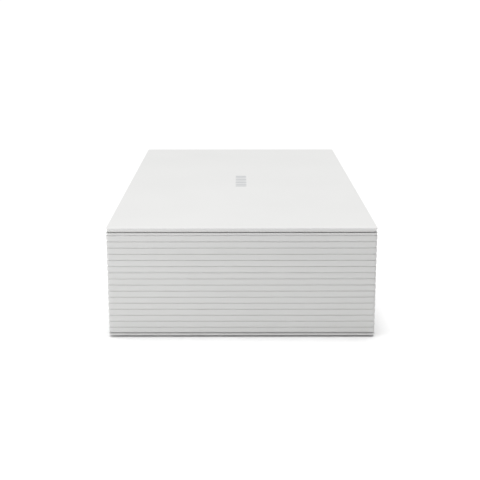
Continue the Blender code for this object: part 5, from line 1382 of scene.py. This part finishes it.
# %% [markdown]
# A chip is a block of resin moulded round its silicon, with a sunk dot that marks its first pin. It
# is a slab with the dot cut out; where the legs show, they are the contact tree again.

# %% Chips
def chip(name, node, lead_count=0, pitch=1.27 * MM):
    """A moulded chip with a sunk dot at its first pin, and legs on two sides where it has them."""
    body = slab(name, *spans(node), corner=0.3 * MM, edge=0.2 * MM)
    (x, y, z) = spans(node)
    carve(body, rod("pin_dot", (x[0] + 2.2 * MM, y[1] - 2.2 * MM, z[1]), 0.7 * MM, 0.2 * MM, Z, 24))
    settle(body, "casing", chip_resin, "chip_resin", node)
    for sign in (-1, 1) if lead_count else ():
        foot = (y[0] if sign < 0 else y[1]) + sign * 0.6 * MM
        turn = (0.0, 0.0, math.pi if sign < 0 else 0.0)
        contacts(f"{name}_legs_{SIDES[sign > 0]}", lead_count, pitch, 1.7 * MM, 0.5 * MM, 0.4 * MM,
                 (middle(x), foot, middle(z)), turn)


chip("processor_package", "processor")
chip("memory_package", "memory_chip", 8)

# %% [markdown]
# The heat sink is an extrusion: one comb-shaped section, drawn out and cut to length. It could be
# cut from a block slot by slot. A tree that repeats one fin is closer to the rule it follows.

# %% Heat sink
fins, given = new_tree("heat_sink_fins", Fins="Int", Pitch="Float", Thickness="Float", Length="Float",
                       Height="Float", Centre="Vector")
profile = add(fins, "GeometryNodeCurvePrimitiveQuadrilateral",
              {"Width": given["Thickness"], "Height": given["Height"]})
soft = add(fins, math_node, {0: given["Thickness"], 1: 0.4}, operation="MULTIPLY")
profile = add(fins, "GeometryNodeFilletCurve", {"Curve": profile, "Count": 3, "Radius": soft},
              mode="POLY")
face = add(fins, "GeometryNodeFillCurve", {"Curve": profile}, mode="NGONS")
fin = solid(fins, face, Offset_Scale=given["Length"])
fin = add(fins, "GeometryNodeTransform", {"Geometry": fin, "Rotation": (math.pi / 2, 0.0, 0.0)})
half = add(fins, math_node, {0: given["Length"], 1: 0.5}, operation="MULTIPLY")
points = row_of(fins, given["Fins"], given["Pitch"], "X", Y=half)
laid = add(fins, "GeometryNodeInstanceOnPoints", {"Points": points, "Instance": fin})
placed = add(fins, "GeometryNodeTransform", {"Geometry": laid, "Translation": given["Centre"]})
end_tree(fins, placed, given)

SINK = spans("heat_sink")
sink_width = SINK[X][1] - SINK[X][0]
FIN = 1.6 * MM
sink_base = (SINK[Z][0], SINK[Z][0] + 3.0 * MM)
fin_z = (sink_base[1] - 0.5 * MM, SINK[Z][1])
comb_of_fins = grow("fins", fins, Fins=9, Pitch=(sink_width - FIN) / 8 - 0.01 * MM, Thickness=FIN,
                    Length=sink_width - 0.02 * MM, Height=fin_z[1] - fin_z[0],
                    Centre=(middle(SINK[X]), middle(SINK[Y]), middle(fin_z)), Finish=extruded_metal)
sink = slab("heat_sink_extrusion", SINK[X], SINK[Y], sink_base, edge=0.2 * MM)
carve(sink, comb_of_fins, how="UNION")
settle(sink, "casing", extruded_metal, "extruded_aluminium", "heat_sink")

# %% [markdown]
# The coin cell is a can pressed over a cap, and its holder is a ring with a floor. Both are round, so
# each is one section turned about the same upright axis.

# %% Coin cell and its holder
CELL = spans("coin_cell")
cell = centre_of("coin_cell")
can = CELL[X][1] - cell.x
low, high = CELL[Z]
profile = [(0, high), (can - 0.9 * MM, high), (can - 0.3 * MM, high - 0.15 * MM),
           (can, high - 0.5 * MM), (can, low + 0.5 * MM), (can - 0.3 * MM, low + 0.2 * MM),
           (can - 1.2 * MM, low + 0.15 * MM), (can - 1.5 * MM, low), (0, low)]
settle(turned("coin_cell_can", profile, (cell.x, cell.y, 0), (0, 0, 1), 96), "casing", cell_steel,
       "cell_steel", "coin_cell")
HOLDER = spans("cell_holder")
out = HOLDER[X][1] - cell.x
low, high = HOLDER[Z]
profile = [(out - 1.4 * MM, high), (out - 0.3 * MM, high), (out, high - 0.3 * MM), (out, low),
           (5.0 * MM, low), (5.0 * MM, low + 1.2 * MM), (out - 1.4 * MM, low + 1.2 * MM)]
settle(turned("cell_holder_ring", profile, (cell.x, cell.y, 0), (0, 0, 1), 96), "casing", black_insert,
       "black_plastic", "cell_holder")

# %% [markdown]
# The plugs and the header are small mouldings with grip slots on top. One loop makes all three,
# because only their place, plastic and name differ.

# %% Plugs and header
for name, node, paint, slot in (("sata_cable_plug", "sata_plug", black_insert, "black_plastic"),
                                ("sata_board_header", "sata_header", black_insert, "black_plastic"),
                                ("fan_lead_plug", "fan_plug", white_nylon, "white_nylon")):
    (x, y, z) = spans(node)
    housing = slab(name, x, y, z, corner=0.4 * MM, edge=0.25 * MM)
    width = x[1] - x[0]
    for index in range(3):
        rib_x = x[0] + width * (index + 0.5) / 3
        carve(housing, slab("grip_slot", around(rib_x, 0.12 * width), inset(y, 1.4 * MM),
                            (z[1] - 0.4 * MM, z[1] + MM), corner=0.25 * MM))
    settle(housing, "casing", paint, slot, node)

# %% [markdown]
# ## Leads
# Two leads run inside. The drive lead is a flat pair of round wires; the fan lead is three wires
# twisted together. One tree does both: it runs a smooth curve between the two ends, lays each wire
# at an offset from it, and turns that offset along the way.

# %% Lead tree
wires, given = new_tree("lead", Start="Vector", First_Pull="Vector", Second_Pull="Vector", End="Vector",
                        Wires="Int", Wire="Int", Offset="Float", Turns="Float", Radius="Float")
route = add(wires, "GeometryNodeCurvePrimitiveBezierSegment",
            {"Resolution": 40, "Start": given["Start"], "Start Handle": given["First_Pull"],
             "End Handle": given["Second_Pull"], "End": given["End"]})
route = add(wires, "GeometryNodeResampleCurve", {"Curve": route, "Count": 40})
share = add(wires, math_node, {0: given["Wire"], 1: given["Wires"]}, operation="DIVIDE")
along = add(wires, "GeometryNodeSplineParameter")
turned_by = add(wires, math_node, {0: along.outputs["Factor"], 1: given["Turns"], 2: share},
                operation="MULTIPLY_ADD")
angle = add(wires, math_node, {0: turned_by, 1: math.tau}, operation="MULTIPLY")
normal = add(wires, "GeometryNodeInputNormal")
tangent = add(wires, "GeometryNodeInputTangent")
aside = add(wires, "ShaderNodeVectorRotate", {"Vector": normal, "Axis": tangent, "Angle": angle},
            rotation_type="AXIS_ANGLE")
shift = add(wires, "ShaderNodeVectorMath", {0: aside, "Scale": given["Offset"]}, operation="SCALE")
moved = add(wires, "GeometryNodeSetPosition", {"Geometry": route, "Offset": shift})
ring = add(wires, "GeometryNodeCurvePrimitiveCircle", {"Resolution": 12, "Radius": given["Radius"]})
tube = add(wires, "GeometryNodeCurveToMesh", {"Curve": moved, "Profile Curve": ring, "Fill Caps": True})
end_tree(wires, tube, given)


def lead(name, node, start, pull, end, paints, offset, turns, radius):
    """The wires of one lead, each in its own colour; the first one stands for the CAD lead."""
    handles = dict(Start=start, First_Pull=start + Vector((0, pull[0], 0)),
                   Second_Pull=end - Vector((0, pull[1], 0)), End=end)
    for index, paint in enumerate(paints):
        wire = grow(f"{name}_{index + 1}", wires, Wires=len(paints), Wire=index, Offset=offset,
                    Turns=turns, Radius=radius, Finish=paint, **handles)
        settle(wire, "casing", None, "cable_jacket", *([node] if index == 0 else []))


# The same PVC in red and in yellow, so that the eye can tell the three wires apart.
coloured = []
for name, colour in (("red_pvc_jacket", "#9C2420"), ("yellow_pvc_jacket", "#C9A227")):
    coloured.append(layer(finish(name, colour, 0.46), NOISE, 0.4 * MM, height=0.012 * MM, gloss=0.06))

plug = spans("sata_plug")
header = spans("sata_header")
fan_plug = spans("fan_plug")
start = Vector((centre_of("sata_plug").x + 2.0 * MM, plug[Y][1] + GAP, plug[Z][0] + 3.3 * MM))
end = Vector((centre_of("sata_header").x - 6.0 * MM, header[Y][0] - GAP, header[Z][0] + 3.2 * MM))
run = (end.y - start.y) / 2
lead("drive_lead", "sata_cable", start, (run, run), end, [jacket, jacket], 1.1 * MM, 0.0, 1.1 * MM)
start = Vector((FAN[X][1] - 4.0 * MM, FAN[Y][0] - GAP, FAN[Z][0] + 8.0 * MM))
end = Vector((centre_of("fan_plug").x, fan_plug[Y][0] - GAP, fan_plug[Z][0] + 3.4 * MM))
lead("fan_lead_wire", "fan_lead", start, (-16.0 * MM, 16.0 * MM), end,
     [jacket, *coloured], 0.62 * MM, 3.0, 0.52 * MM)
left_over = [name for name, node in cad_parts.items() if not node.hide_render]
print("CAD nodes still shown:", left_over)

# %% [markdown]
# ## Size
# The last line writes the size of the box round the finished pieces, in millimetres.

# %% Finish
low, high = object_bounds()
print("visual, mm:", [round((b - a) / MM, 2) for a, b in zip(low, high)])
